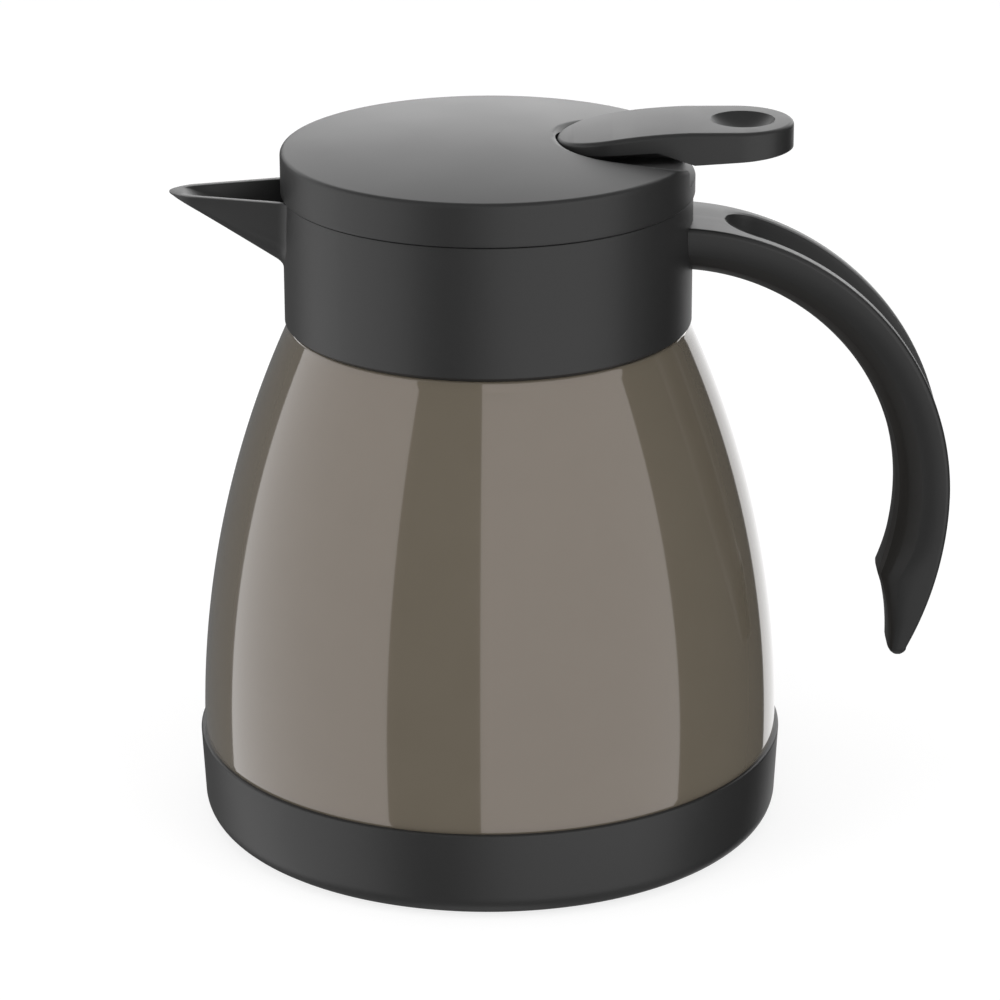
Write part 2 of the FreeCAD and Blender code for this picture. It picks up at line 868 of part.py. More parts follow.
def make_stopper_body():
    outer = stopper_radius
    inner = outer - S.stopper_wall
    bore = S.stem_radius + S.stem_gap
    seal_bottom = deck_under - S.stem_seal_height
    turned_stopper = turned("stopper_turned", [
        (S.seat_radius, stopper_bottom),
        (outer, stopper_bottom),
        (outer, shoulder_under),
        (shoulder_radius, shoulder_under),
        (shoulder_radius, shoulder_top),
        (outer, shoulder_top),
        (outer, lid_bottom),
        (stopper_flange, lid_bottom),
        (stopper_flange, flange_top),
        (inner, flange_top),
        (inner, deck_top),
        (bore, deck_top),
        (bore, deck_under),
        (S.stem_seal_radius, deck_under),
        (S.stem_seal_radius, seal_bottom),
        (S.guide_radius, seal_bottom),
        (S.guide_radius, deck_under),
        (inner, deck_under),
        (inner, stopper_floor_top),
        (S.seat_radius + S.seat_land, stopper_floor_top),
        (S.seat_radius + S.seat_land / 2, stopper_floor_top + S.seat_rise),
        (S.seat_radius, stopper_floor_top),
    ])
    sill = shoulder_top + S.window_sill
    windows = []
    for pair in range(WINDOW_PAIRS):
        window = padded(f"stopper_window_{pair}", "YZ_Plane", [
            (-S.window_width / 2, sill),
            (S.window_width / 2, sill),
            (S.window_width / 2, sill + S.window_height),
            (-S.window_width / 2, sill + S.window_height),
        ], 2 * shoulder_radius)
        window.Placement = FreeCAD.Placement(
            FreeCAD.Vector(0, 0, 0), FreeCAD.Rotation(Z_AXIS, 180.0 * pair / WINDOW_PAIRS))
        windows.append(window)
    core = cylinder("stopper_core", inner, deck_under - stopper_floor_top, (ZERO, ZERO, stopper_floor_top))
    openings = cut("stopper_openings", fused("stopper_window_bars", *windows), core)
    holes = [
        cylinder(f"stopper_screw_hole_{index}", S.screw_radius + S.screw_gap, 2 * S.stopper_flange_height,
                 (*lid_screw_place(angle), lid_bottom - S.stopper_flange_height / 2))
        for index, angle in enumerate(LID_SCREW_ANGLES)
    ]
    return cut("stopper_body", turned_stopper, openings, *holes)


def lid_screw_place(angle):
    turn = as_size(angle)
    return lid_screw_ring * cosine(turn), lid_screw_ring * sine(turn)


# Lid cap

def dome_arc(half, rise):
    return (half * half + rise * rise) / (2 * rise)


def valley_section(offset, half_low, half_high, low):
    corners = [(-half_low, low), (half_low, low), (half_high, dome_top + S.valley_height),
               (-half_high, dome_top + S.valley_height)]
    return offset, corners, None


def valley_form(name, skin):
    """The hollow beside the lever, widening to the rim. skin thickens it, to keep a wall below it."""
    half = S.lever_half_width + S.slot_gap + skin
    return lofted(name, "YZ_Plane", [
        valley_section(
            valley_start - skin, half, S.valley_start_half + 2 * skin, dome_top - S.valley_start_drop - skin),
        valley_section(valley_end, half, S.valley_end_half + 2 * skin, dome_top - S.valley_end_drop - skin),
    ])


def make_lid_cap():
    edge = S.lid_edge_round
    dome_half = lid_radius - edge
    wall = S.lid_wall
    inner = lid_radius - wall
    outside = turned("lid_outside", [
        (ZERO, lid_bottom),
        (lid_radius, lid_bottom),
        (lid_radius, lid_rim - edge),
        (dome_half, lid_rim),
        (ZERO, dome_top),
    ], {2: (edge, 1), 3: (dome_arc(dome_half, S.dome_rise), 1)})
    hollow = turned("lid_hollow", [
        (ZERO, lid_bottom - S.lid_gap),
        (inner, lid_bottom - S.lid_gap),
        (inner, lid_rim - wall),
        (ZERO, dome_top - wall),
    ], {2: (dome_arc(inner, S.dome_rise), 1)})
    slot_half = S.lever_half_width + S.slot_gap
    floor = lid_bottom + S.slot_floor_rise
    far = lid_radius + S.lid_wall
    above = dome_top + S.valley_height
    pocket = box(
        "lid_pocket",
        (slot_start - S.slot_skin, -(slot_half + S.slot_cheek), floor - S.slot_skin),
        (far, slot_half + S.slot_cheek, above))
    throat_half = S.fork_half_width + S.slot_gap
    throat = box(
        "lid_throat",
        (-far, -throat_half, lid_bottom - S.lid_gap),
        (slot_floor_start - S.slot_skin, throat_half, fork_level + S.barrel_radius * 2))
    keep = cut("lid_keep", fused("lid_pocket_walls", pocket, valley_form("valley_skin", wall)), throat)
    cavity = cut("lid_cavity", hollow, keep)
    nose = slot_start + slot_half
    quarter = (slot_half, 1)
    slot = padded("lid_slot", "XY_Plane", [
        (nose, -slot_half), (far, -slot_half), (far, slot_half), (nose, slot_half), (slot_start, ZERO),
    ], above - floor, {3: quarter, 4: quarter}, floor)
    well = padded("lid_well", "XY_Plane", [
        (nose, -slot_half), (nose, slot_half), (slot_start, ZERO),
    ], above - lid_bottom, {1: quarter, 2: quarter}, lid_bottom)
    well_limit = box(
        "lid_well_limit", (ZERO, -slot_half, lid_bottom - S.lid_gap), (slot_floor_start, slot_half, above))
    carved = cut("lid_carved", outside, cavity, slot, shared("lid_well_cut", well, well_limit),
                 valley_form("valley", ZERO))
    bosses = [
        cylinder(f"lid_boss_{index}", S.lid_boss_radius, lid_rim - flange_top - wall / 4,
                 (*lid_screw_place(angle), flange_top))
        for index, angle in enumerate(LID_SCREW_ANGLES)
    ]
    pin_hole = cylinder(
        "lid_pin_hole", S.pin_radius, 2 * (slot_half + S.slot_cheek),
        (S.pivot_place, -(slot_half + S.slot_cheek), pivot_level), ALONG_Y)
    pilots = [
        cylinder(f"lid_pilot_{index}", S.screw_radius, lid_rim - flange_top - wall,
                 (*lid_screw_place(angle), flange_top))
        for index, angle in enumerate(LID_SCREW_ANGLES)
    ]
    return cut("lid_cap", fused("lid_with_bosses", carved, *bosses), pin_hole, *pilots)


def make_lid_screws():
    length = lid_rim - flange_top - S.lid_wall
    return group("lid_screws", *[
        screw(f"lid_screw_{index}", length, (*lid_screw_place(angle), lid_bottom), None)
        for index, angle in enumerate(LID_SCREW_ANGLES)
    ])


def make_lever_pin():
    reach = S.lever_half_width + S.slot_gap + S.slot_cheek
    return cylinder("lever_pin", S.pin_radius, 2 * reach, (S.pivot_place, -reach, pivot_level), ALONG_Y)


# Thumb lever

def make_thumb_lever():
    top = lever_top
    half = S.lever_half_width
    nose_top = dome_top - S.valley_start_drop + S.lever_nose_thickness
    side = padded("lever_side", "XZ_Plane", [
        (lever_start, nose_top),
        (lever_start, nose_top - S.lever_nose_thickness),
        (lever_waist, top - S.lever_waist_thickness),
        (lever_heel, top - S.lever_heel_thickness),
        (lever_end, top - S.lever_end_thickness),
        (lever_end, top),
        (lever_flat_start, top),
    ], 4 * half, {6: (S.lever_crown_arc, 1)})
    left = lever_start + half
    right = lever_end - half
    quarter = (half, 1)
    plan = padded("lever_plan", "XY_Plane", [
        (left, -half), (right, -half), (lever_end, ZERO), (right, half), (left, half), (lever_start, ZERO),
    ], top + half, {1: quarter, 2: quarter, 4: quarter, 5: quarter}, ZERO)
    paddle = shared("lever_paddle", side, plan)
    doc.recompute()
    rounded = doc.addObject("Part::Fillet", "lever_rounded")
    rounded.Base = paddle
    radius = S.lever_edge_round.number
    rounded.Edges = [(index, radius, radius) for index in lever_top_edges(paddle.Shape)]
    ball = (S.dimple_radius * S.dimple_radius + S.dimple_depth * S.dimple_depth) / (2 * S.dimple_depth)
    dimple = sphere("lever_dimple", ball, (dimple_place, ZERO, top - S.dimple_depth + ball))
    barrel_half = S.barrel_half_width
    barrel = cylinder(
        "lever_barrel", S.barrel_radius, 2 * barrel_half, (S.pivot_place, -barrel_half, pivot_level), ALONG_Y)
    web = box(
        "lever_web",
        (S.pivot_place - S.barrel_radius, -barrel_half, pivot_level),
        (S.pivot_place + S.barrel_radius, barrel_half, nose_top - S.lever_nose_thickness / 2))
    arm_low = fork_level - S.fork_radius
    arm_high = fork_level + S.fork_radius
    clear = S.head_radius + S.fork_radius
    arm = padded("lever_arm", "XZ_Plane", [
        (ZERO, arm_low),
        (clear, arm_low),
        (S.pivot_place, pivot_level - S.barrel_radius),
        (S.pivot_place, pivot_level + S.pin_radius),
        (clear, arm_high - S.head_gap),
        (ZERO, arm_high - S.head_gap),
    ], 2 * S.fork_half_width)
    tip = cylinder(
        "lever_fork_tip", S.fork_radius, 2 * S.fork_half_width, (ZERO, -S.fork_half_width, fork_level),
        ALONG_Y)
    fork_slot = box(
        "lever_fork_slot",
        (-S.head_radius, -S.fork_slot_half, arm_low - S.fork_radius),
        (S.fork_slot_half + S.head_gap, S.fork_slot_half, arm_high + S.fork_radius))
    pin_hole = cylinder(
        "lever_pin_hole", S.pin_radius + S.pin_gap, 2 * half, (S.pivot_place, -half, pivot_level), ALONG_Y)
    whole = fused("lever_whole", rounded, barrel, web, arm, tip)
    return cut("thumb_lever", whole, dimple, fork_slot, pin_hole)


def lever_top_edges(shape):
    """Numbers of the edges round the lever's upper face, which a thumb slides over."""
    floor = lever_top.number - S.lever_waist_thickness.number + TOLERANCE
    chosen = []
    for index, edge in enumerate(shape.Edges, start=1):
        upper = all(vertex.Z > floor for vertex in edge.Vertexes)
        crosses = edge.BoundBox.XLength < TOLERANCE
        if upper and not crosses and edge.CenterOfMass.x > S.pivot_place.number:
            chosen.append(index)
    return chosen


# Valve

washer_bottom = stopper_floor_top + S.seat_rise + S.stem_gap
disc_bottom = washer_bottom + S.washer_height
disc_top = disc_bottom + S.disc_height
head_bottom = fork_level + S.fork_radius + S.head_gap
head_top = head_bottom + S.head_height
clip_bottom = washer_bottom - S.clip_height
stem_bottom = clip_bottom - S.stem_tail


def washer(name, radius, bottom, top):
    return turned(name, [(S.stem_radius, bottom), (radius, bottom), (radius, top), (S.stem_radius, top)])


def make_valve_stem():
    return cylinder("valve_stem", S.stem_radius, head_top - stem_bottom, (ZERO, ZERO, stem_bottom))


def make_stem_seal():
    return turned("stem_seal", [
        (S.stem_radius + S.stem_gap, deck_under - S.stem_seal_height),
        (S.stem_seal_radius, deck_under - S.stem_seal_height),
        (S.stem_seal_radius, deck_under),
        (S.stem_radius + S.stem_gap, deck_under),
    ])


def biarc(start, start_way, stop, stop_way):
    """Two arcs that join two points, each leaving along the way given there."""
    chord = stop - start
    ways = start_way + stop_way
    spread = 2 * (1 - start_way.dot(stop_way))
    along = chord.dot(ways)
    reach = (-along + math.sqrt(along * along + spread * chord.dot(chord))) / spread
    first = start + start_way * reach
    second = stop - stop_way * reach
    joint = (first + second) / 2
    arcs = []
    for begin, corner, end in ((start, first, joint), (joint, second, stop)):
        middle = (begin + end) / 2
        half = (end - begin).Length / 2
        outward = corner - middle
        bow = half * math.tan(math.atan2(outward.Length, half) / 2)
        arcs.append(Part.Arc(begin, middle + outward.normalize() * bow, end).toShape())
    return arcs


def make_valve_spring():
    """One unbroken wire between the valve disc and the stopper's deck."""
    radius = S.spring_radius.number
    wire = S.spring_wire.number
    gap = S.spring_seat_gap.number
    low = disc_top.number + wire + gap
    high = deck_under.number - S.stem_seal_height.number - wire - gap
    quarters = 4 * SPRING_TURNS
    rise = (high - low) / (2 * math.pi * SPRING_TURNS)
    points = []
    ways = []
    for index in range(quarters + 1):
        angle = index * math.pi / 2
        points.append(FreeCAD.Vector(radius * math.cos(angle), radius * math.sin(angle), low + rise * angle))
        ways.append(FreeCAD.Vector(-radius * math.sin(angle), radius * math.cos(angle), rise).normalize())
    edges = []
    for index in range(quarters):
        edges += biarc(points[index], ways[index], points[index + 1], ways[index + 1])
    path = Part.Wire(edges)
    section = Part.Wire(Part.Circle(points[0], ways[0], wire).toShape())
    spring = doc.addObject("Part::Feature", "valve_spring")
    spring.Shape = path.makePipeShell([section], True, False)
    print("valve spring: least gap between turns", round(2 * math.pi * rise - 2 * wire, 3), "mm")
    return spring


# Build, test and write

def build_all():
    return {
        "base_cup": make_base_cup(),
        "outer_shell": make_outer_shell(),
        "shell_bottom": make_shell_bottom(),
        "vacuum_plug": make_vacuum_plug(),
        "getter_disc": make_getter_disc(),
        "inner_liner": make_inner_liner(),
        "collar": make_collar(),
        "neck_sleeve": make_neck_sleeve(),
        "collar_seal": make_collar_seal(),
        "handle": make_handle(),
        "handle_screws": make_handle_screws(),
        "stopper_gasket": make_stopper_gasket(),
        "lid_cap": make_lid_cap(),
        "stopper_body": make_stopper_body(),
        "lid_screws": make_lid_screws(),
        "lever_pin": make_lever_pin(),
        "stem_seal": make_stem_seal(),
        "valve_spring": make_valve_spring(),
        "thumb_lever": make_thumb_lever(),
        "valve_stem": make_valve_stem(),
        "stem_head": washer("stem_head", S.head_radius, head_bottom, head_top),
        "valve_disc": washer("valve_disc", S.disc_radius, disc_bottom, disc_top),
        "valve_seal": washer("valve_seal", S.washer_radius, washer_bottom, disc_bottom),
        "stem_clip": washer("stem_clip", S.clip_radius, clip_bottom, washer_bottom),
    }


pieces = build_all()
doc.recompute()
for thing in doc.Objects:
    if "Invalid" in thing.State or "Error" in thing.State:
        raise RuntimeError(f"{thing.Name} failed: {thing.State}")
for label, piece in pieces.items():
    piece.Label = label
    if piece.Shape.isNull() or not piece.Shape.isValid():
        raise RuntimeError(f"{label} has no valid shape")
    solids = len(piece.Shape.Solids)
    print(f"{label}: {solids} solid(s), {piece.Shape.Volume / 1000:.2f} cm3")

os.makedirs("parts", exist_ok=True)
for label, piece in pieces.items():
    piece.Shape.exportStep(f"parts/{label}.step")
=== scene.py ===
# %% [markdown]
# # A vacuum jug with a thumb lever
#
# The jug is a painted steel bell on a black moulded foot. A black collar with an open spout sits on the
# bell, a lid with a broad thumb lever closes the collar, and an open handle hangs at the back. The lesson
# starts from the measured model, keeps the inner pieces as they are and models the pieces that show
# again, with the soft edges and blends that a mould and a press leave.

# %% Load the measured model
import json
import math

import bpy
from mathutils import Matrix


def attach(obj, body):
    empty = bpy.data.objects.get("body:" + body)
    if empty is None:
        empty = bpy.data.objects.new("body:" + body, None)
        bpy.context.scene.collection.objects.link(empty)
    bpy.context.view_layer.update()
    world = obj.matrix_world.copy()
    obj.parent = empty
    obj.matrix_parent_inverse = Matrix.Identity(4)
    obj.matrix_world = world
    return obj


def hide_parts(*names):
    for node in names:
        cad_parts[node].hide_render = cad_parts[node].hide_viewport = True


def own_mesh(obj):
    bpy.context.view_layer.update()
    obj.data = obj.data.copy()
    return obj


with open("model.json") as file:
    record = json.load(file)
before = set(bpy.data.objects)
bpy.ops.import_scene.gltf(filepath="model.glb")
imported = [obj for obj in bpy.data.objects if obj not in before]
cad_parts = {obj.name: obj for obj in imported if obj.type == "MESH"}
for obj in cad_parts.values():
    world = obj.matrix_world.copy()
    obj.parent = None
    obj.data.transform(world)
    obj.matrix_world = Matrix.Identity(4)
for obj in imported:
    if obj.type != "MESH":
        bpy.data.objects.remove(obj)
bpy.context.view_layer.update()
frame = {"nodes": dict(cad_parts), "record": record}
MM = 0.001

# %% [markdown]
# ## Camera
#
# The jug is seen from a little above, through a long lens, so that its sides stay nearly parallel. The
# place and the tilt were found by fitting the round edges of lid, collar and foot to the picture. The
# lens is given for a square picture of 1000 pixels.

# %% Camera
PICTURE_WIDTH = 1000
FOCAL_PIXELS = 4113.67
CAMERA_PLACE = (2.4246, -855.781, 385.547)
CAMERA_DROP = 20.134
CAMERA_ROLL = -0.1766
SENSOR_WIDTH = 36.0

camera_data = bpy.data.cameras.new("product_camera")
camera_data.sensor_width = SENSOR_WIDTH
camera_data.lens = SENSOR_WIDTH * FOCAL_PIXELS / PICTURE_WIDTH
camera = bpy.data.objects.new("product_camera", camera_data)
bpy.context.collection.objects.link(camera)
tilt = Matrix.Rotation(math.radians(90 - CAMERA_DROP), 3, "X")
roll = Matrix.Rotation(math.radians(CAMERA_ROLL), 3, "Z")
camera.location = [value * MM for value in CAMERA_PLACE]
camera.rotation_euler = (tilt @ roll).to_euler()
bpy.context.scene.camera = camera
print("lens", round(camera_data.lens, 1), "mm")

# %% [markdown]
# ## Materials
#
# Every finish is written as what it is in the workshop: its colour as a hex value, its gloss
# from typical values for that material, and its grain from a real size. A small function adds a node,
# sets its values and links its inputs, so that a material reads from top to bottom like a recipe.

# %% Colour and node helpers
def linear(hex_colour):
    """Turns a hex colour, as the eye names it, into the linear values that light adds up in."""
    channels = [int(hex_colour[place:place + 2], 16) / 255 for place in (1, 3, 5)]
    curve = [c / 12.92 if c <= 0.04045 else ((c + 0.055) / 1.055) ** 2.4 for c in channels]
    return (*curve, 1.0)


def add(tree, kind, settings=None, **inputs):
    """Adds a node, sets its properties, and gives its inputs, by name or as i0, i1, values or links."""
    node = tree.nodes.new(kind)
    for name, value in (settings or {}).items():
        setattr(node, name, value)
    for name, value in inputs.items():
        socket = node.inputs[int(name[1:])] if name[1:].isdigit() else node.inputs[name.replace("_", " ")]
        if isinstance(value, bpy.types.NodeSocket):
            tree.links.new(value, socket)
        else:
            socket.default_value = value
    return node


def finish(name):
    """An empty node tree of that name, with its output and the piece's own coordinates."""
    material = bpy.data.materials.new(name)
    material.use_nodes = True
    tree = material.node_tree
    tree.nodes.clear()
    output = add(tree, "ShaderNodeOutputMaterial")
    place = add(tree, "ShaderNodeTexCoord").outputs["Object"]
    return material, tree, output, place


def per_metre(size_mm):
    """How often a pattern of that size in millimetres repeats in a metre."""
    return 1 / (size_mm * MM)


# %% [markdown]
# ### Stoving paint
#
# The bell is sprayed in a warm grey-brown and baked, with a clear coat over it. The eye gets two mirror
# layers, so the dark and light panels of the studio stand on it as upright bands. The spray leaves a very
# faint unevenness in the gloss, and that is all the structure it has. A fine metal flake gives the lower
# layer a warm gleam, so the light bands are a little warmer than the dark ones.

# %% Taupe stoving paint
WARM_GLEAM = (1.0, 0.8, 0.8, 1.0)


def taupe_paint():
    """Glossy paint under a clear coat."""
    material, tree, output, place = finish("taupe_stoving_paint")
    cloud = add(tree, "ShaderNodeTexNoise", Vector=place, Scale=per_metre(9), Detail=3.0)
    gloss = add(tree, "ShaderNodeMapRange", Value=cloud.outputs[0], To_Min=0.06, To_Max=0.12)
    tone = add(tree, "ShaderNodeMix", {"data_type": "RGBA"}, Factor=cloud.outputs[0],
               i6=linear("#645d51"), i7=linear("#676054"))
    skin = add(tree, "ShaderNodeBsdfPrincipled", Base_Color=tone.outputs[2], Roughness=gloss.outputs[0],
               IOR=1.5, Specular_Tint=WARM_GLEAM, Coat_Weight=1.0, Coat_Roughness=0.02, Coat_IOR=1.5)
    tree.links.new(skin.outputs[0], output.inputs["Surface"])
    return material


# %% [markdown]
# ### Moulded polypropylene
#
# Foot, collar, handle and lid are black polypropylene from a spark-eroded mould, which gives a fine matt
# grain. The real grain is about a tenth of a millimetre. It is drawn three times as coarse, because a
# finer one would not show in the picture at all.

# %% Black moulded polypropylene
GRAIN_MM = 0.3


def black_polypropylene():
    """Matt black plastic with a fine grain."""
    material, tree, output, place = finish("black_moulded_polypropylene")
    grain = add(tree, "ShaderNodeTexNoise", Vector=place, Scale=per_metre(GRAIN_MM), Detail=2.0)
    flow = add(tree, "ShaderNodeTexNoise", Vector=place, Scale=per_metre(25), Detail=2.0)
    gloss = add(tree, "ShaderNodeMapRange", Value=flow.outputs[0], To_Min=0.40, To_Max=0.46)
    relief = add(tree, "ShaderNodeBump", Height=grain.outputs[0], Strength=0.12, Distance=0.02 * MM)
    tone = add(tree, "ShaderNodeMix", {"data_type": "RGBA"}, Factor=grain.outputs[0],
               i6=linear("#212121"), i7=linear("#262626"))
    skin = add(tree, "ShaderNodeBsdfPrincipled", Base_Color=tone.outputs[2], Roughness=gloss.outputs[0],
               IOR=1.49, Normal=relief.outputs[0])
    tree.links.new(skin.outputs[0], output.inputs["Surface"])
    return material


# %% [markdown]
# ### Steel, wire and silicone
#
# The vessel inside is spun stainless steel, with fine turning lines round its axis. Screws, pin, stem and
# spring are drawn or turned steel with a tighter gloss. The seals are milky silicone, which takes a soft
# shine and lets a little light in.

# %% Spun stainless steel
def spun_steel():
    """Bare steel with turning lines round the axis."""
    material, tree, output, place = finish("spun_stainless_steel")
    drawn = add(tree, "ShaderNodeMapping", Vector=place, Scale=(0.02, 0.02, 1.0))
    lines = add(tree, "ShaderNodeTexNoise", Vector=drawn.outputs[0], Scale=per_metre(0.5), Detail=2.0)
    gloss = add(tree, "ShaderNodeMapRange", Value=lines.outputs[0], To_Min=0.18, To_Max=0.34)
    relief = add(tree, "ShaderNodeBump", Height=lines.outputs[0], Strength=0.1, Distance=0.01 * MM)
    skin = add(tree, "ShaderNodeBsdfPrincipled", Base_Color=linear("#cbc8c3"), Metallic=1.0,
               Roughness=gloss.outputs[0], Normal=relief.outputs[0])
    tree.links.new(skin.outputs[0], output.inputs["Surface"])
    return material


def spring_steel():
    """Drawn or turned steel with small marks in its gloss."""
    material, tree, output, place = finish("drawn_steel_wire")
    marks = add(tree, "ShaderNodeTexNoise", Vector=place, Scale=per_metre(0.4), Detail=3.0)
    gloss = add(tree, "ShaderNodeMapRange", Value=marks.outputs[0], To_Min=0.16, To_Max=0.28)
    skin = add(tree, "ShaderNodeBsdfPrincipled", Base_Color=linear("#b9b7b4"), Metallic=1.0,
               Roughness=gloss.outputs[0])
    tree.links.new(skin.outputs[0], output.inputs["Surface"])
    return material


def milky_silicone():
    """Soft white rubber that lets a little light in."""
    material, tree, output, place = finish("milky_silicone")
    haze = add(tree, "ShaderNodeTexNoise", Vector=place, Scale=per_metre(4), Detail=2.0)
    tone = add(tree, "ShaderNodeMix", {"data_type": "RGBA"}, Factor=haze.outputs[0],
               i6=linear("#dcdad4"), i7=linear("#e6e4df"))
    gloss = add(tree, "ShaderNodeMapRange", Value=haze.outputs[0], To_Min=0.38, To_Max=0.50)
    skin = add(tree, "ShaderNodeBsdfPrincipled", Base_Color=tone.outputs[2], Roughness=gloss.outputs[0],
               IOR=1.41, Subsurface_Weight=0.15)
    tree.links.new(skin.outputs[0], output.inputs["Surface"])
    return material


finishes = {
    "painted_steel": taupe_paint(),
    "bare_steel": spun_steel(),
    "black_plastic": black_polypropylene(),
    "silicone": milky_silicone(),
    "spring_steel": spring_steel(),
}
print("finishes", sorted(finishes))

# %% [markdown]
# ## Finishes on the measured pieces
#
# Each piece of the measured model already names its finish in the record, so a loop gives every one its
# material. Pieces that stay as they are, such as the liner, the stopper and the screws, are ready with
# this.

# %% Dress the measured pieces
slot_of = {row["node"]: row["material_slot"] for row in frame["record"]["subparts"]}
for node, slot in slot_of.items():
    mesh = frame["nodes"][node].data
    mesh.materials.clear()
    mesh.materials.append(finishes[slot])
print("dressed", len(slot_of), "pieces")

# %% [markdown]
# ## How a turned piece is modelled
#
# A lathe and a spinning bench make round pieces from a profile, and Blender's spin does the same: one
# vertex is drawn along the profile and spun once round the jug's axis. The seam is then merged, and the
# faces are turned outwards.

# %% Helpers for turned pieces
SEAM_WELD = 0.001


def named(name):
    """Takes the newest primitive as the piece of that name."""
    piece = bpy.context.object
    piece.name = name
    piece.data.name = name
    return piece


def bow(centre, radius, start, end, steps=8):
    """Points on a round stretch of a profile, with angles in degrees from the outward side."""
    angles = [math.radians(start + (end - start) * step / steps) for step in range(steps + 1)]
    return [(centre[0] + radius * math.cos(a), centre[1] + radius * math.sin(a)) for a in angles]


def run(start, end, steps):
    """Points along a straight stretch of a profile, without its last one."""
    return [(start[0] + (end[0] - start[0]) * step / steps, start[1] + (end[1] - start[1]) * step / steps)
            for step in range(steps)]


def spun(name, profile, steps=256, crease=30):
    """Draws a profile of (radius, height) points in millimetres and spins it about the jug's axis."""
    bpy.ops.object.select_all(action="DESELECT")
    bpy.ops.mesh.primitive_plane_add(size=MM)
    piece = named(name)
    bpy.ops.object.mode_set(mode="EDIT")
    bpy.ops.mesh.select_all(action="SELECT")
    bpy.ops.mesh.merge(type="CENTER")
    at = (0.0, 0.0)
    for index, point in enumerate(profile):
        step = ((point[0] - at[0]) * MM, 0, (point[1] - at[1]) * MM)
        if index == 0:
            bpy.ops.transform.translate(value=step)
        else:
            bpy.ops.mesh.extrude_vertices_move(TRANSFORM_OT_translate={"value": step})
        at = point
    bpy.ops.mesh.select_all(action="SELECT")
    bpy.ops.mesh.spin(steps=steps, angle=2 * math.pi, center=(0, 0, 0), axis=(0, 0, 1))
    bpy.ops.mesh.select_all(action="SELECT")
    bpy.ops.mesh.remove_doubles(threshold=SEAM_WELD * MM)
    bpy.ops.mesh.normals_make_consistent(inside=False)
    bpy.ops.object.mode_set(mode="OBJECT")
    smooth(piece, crease)
    return piece


def smooth(piece, crease):
    """Shades a piece smooth, except at edges sharper than the crease angle in degrees."""
    bpy.ops.object.select_all(action="DESELECT")
    piece.select_set(True)
    bpy.context.view_layer.objects.active = piece
    bpy.ops.object.shade_smooth_by_angle(angle=math.radians(crease))


def dress(piece, slot, body, *nodes):
    """Gives a piece its finish, puts it on its body and lets it stand for measured pieces."""
    piece.data.materials.clear()
    piece.data.materials.append(finishes[slot])
    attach(piece, body)
    if nodes:
        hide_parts(*nodes)
    print(piece.name, len(piece.data.polygons), "faces")


# %% [markdown]
# ## Foot
#
# The foot is a shallow moulded cup. It flares a little towards its upper rim, its lower edge has a large
# soft round, and it stands on a ring. A small round on the rim catches the light above the paint's edge.

# %% Foot cup
BASE_RADIUS = 65.0
BASE_TOP = 20.0
BASE_TAPER = 0.7
BASE_ROUND = 5.4
FOOT_WIDTH = 6.0
FOOT_RISE = 1.6
SHELL_FOOT = 4.0
SHELL_RADIUS = 64.1
TUCK_DEPTH = 2.4
RIM_ROUND = 0.45

foot_radius = BASE_RADIUS - BASE_TAPER - BASE_ROUND
foot_inner = foot_radius - FOOT_WIDTH
tuck_radius = SHELL_RADIUS - TUCK_DEPTH
foot_profile = [
    (0, FOOT_RISE),
    (foot_inner, FOOT_RISE),
    *bow((foot_inner + RIM_ROUND, RIM_ROUND), RIM_ROUND, 180, 270, 4),
    *bow((foot_radius, BASE_ROUND), BASE_ROUND, -90, 0, 12),
    *bow((BASE_RADIUS - RIM_ROUND, BASE_TOP - RIM_ROUND), RIM_ROUND, 0, 90, 5),
    (SHELL_RADIUS, BASE_TOP),
    (tuck_radius, SHELL_FOOT),
    (0, SHELL_FOOT),
]
foot_cup = spun("foot_cup", foot_profile)
dress(foot_cup, "black_plastic", "jug", "base_cup")

# %% [markdown]
# ## Painted bell
#
# The steel outside is one sheet, drawn and spun to a bell. It rises straight out of the foot and leans in
# along one large arc, then turns under the collar into the neck. Since it mirrors the studio, its profile
# is drawn with many points, so that no facet shows.

# %% Painted bell
BODY_HEIGHT = 94.0
COLLAR_BOTTOM = BASE_TOP + BODY_HEIGHT
COLLAR_RADIUS = 44.3
COLLAR_OVERHANG = 0.87
STEEL_WALL = 0.8
LEDGE_BEND = 0.9
NECK_RADIUS = 36.0
SHELL_TOP = 124.4

bell_inset = SHELL_RADIUS - COLLAR_RADIUS + COLLAR_OVERHANG
bell_arc = (bell_inset ** 2 + BODY_HEIGHT ** 2) / (2 * bell_inset)
bell_centre = (SHELL_RADIUS - bell_arc, BASE_TOP)
bend_start = COLLAR_BOTTOM - LEDGE_BEND
ledge_under = COLLAR_BOTTOM - STEEL_WALL
lean = math.degrees(math.asin((bend_start - BASE_TOP) / bell_arc))
lean_inside = math.degrees(math.asin((ledge_under - BASE_TOP) / (bell_arc - STEEL_WALL)))
outside = bow(bell_centre, bell_arc, 0, lean, 60)
bell_profile = [
    (tuck_radius, SHELL_FOOT),
    *outside,
    *bow((outside[-1][0] - LEDGE_BEND, bend_start), LEDGE_BEND, 20, 90, 4),
    (NECK_RADIUS, COLLAR_BOTTOM),
    (NECK_RADIUS, SHELL_TOP),
    (NECK_RADIUS - STEEL_WALL, SHELL_TOP),
    (NECK_RADIUS - STEEL_WALL, ledge_under),
    *bow(bell_centre, bell_arc - STEEL_WALL, lean_inside, 0, 24),
    (tuck_radius - STEEL_WALL, SHELL_FOOT),
    (tuck_radius, SHELL_FOOT),
]
painted_bell = spun("painted_bell", bell_profile, steps=360)
dress(painted_bell, "painted_steel", "jug", "outer_shell")

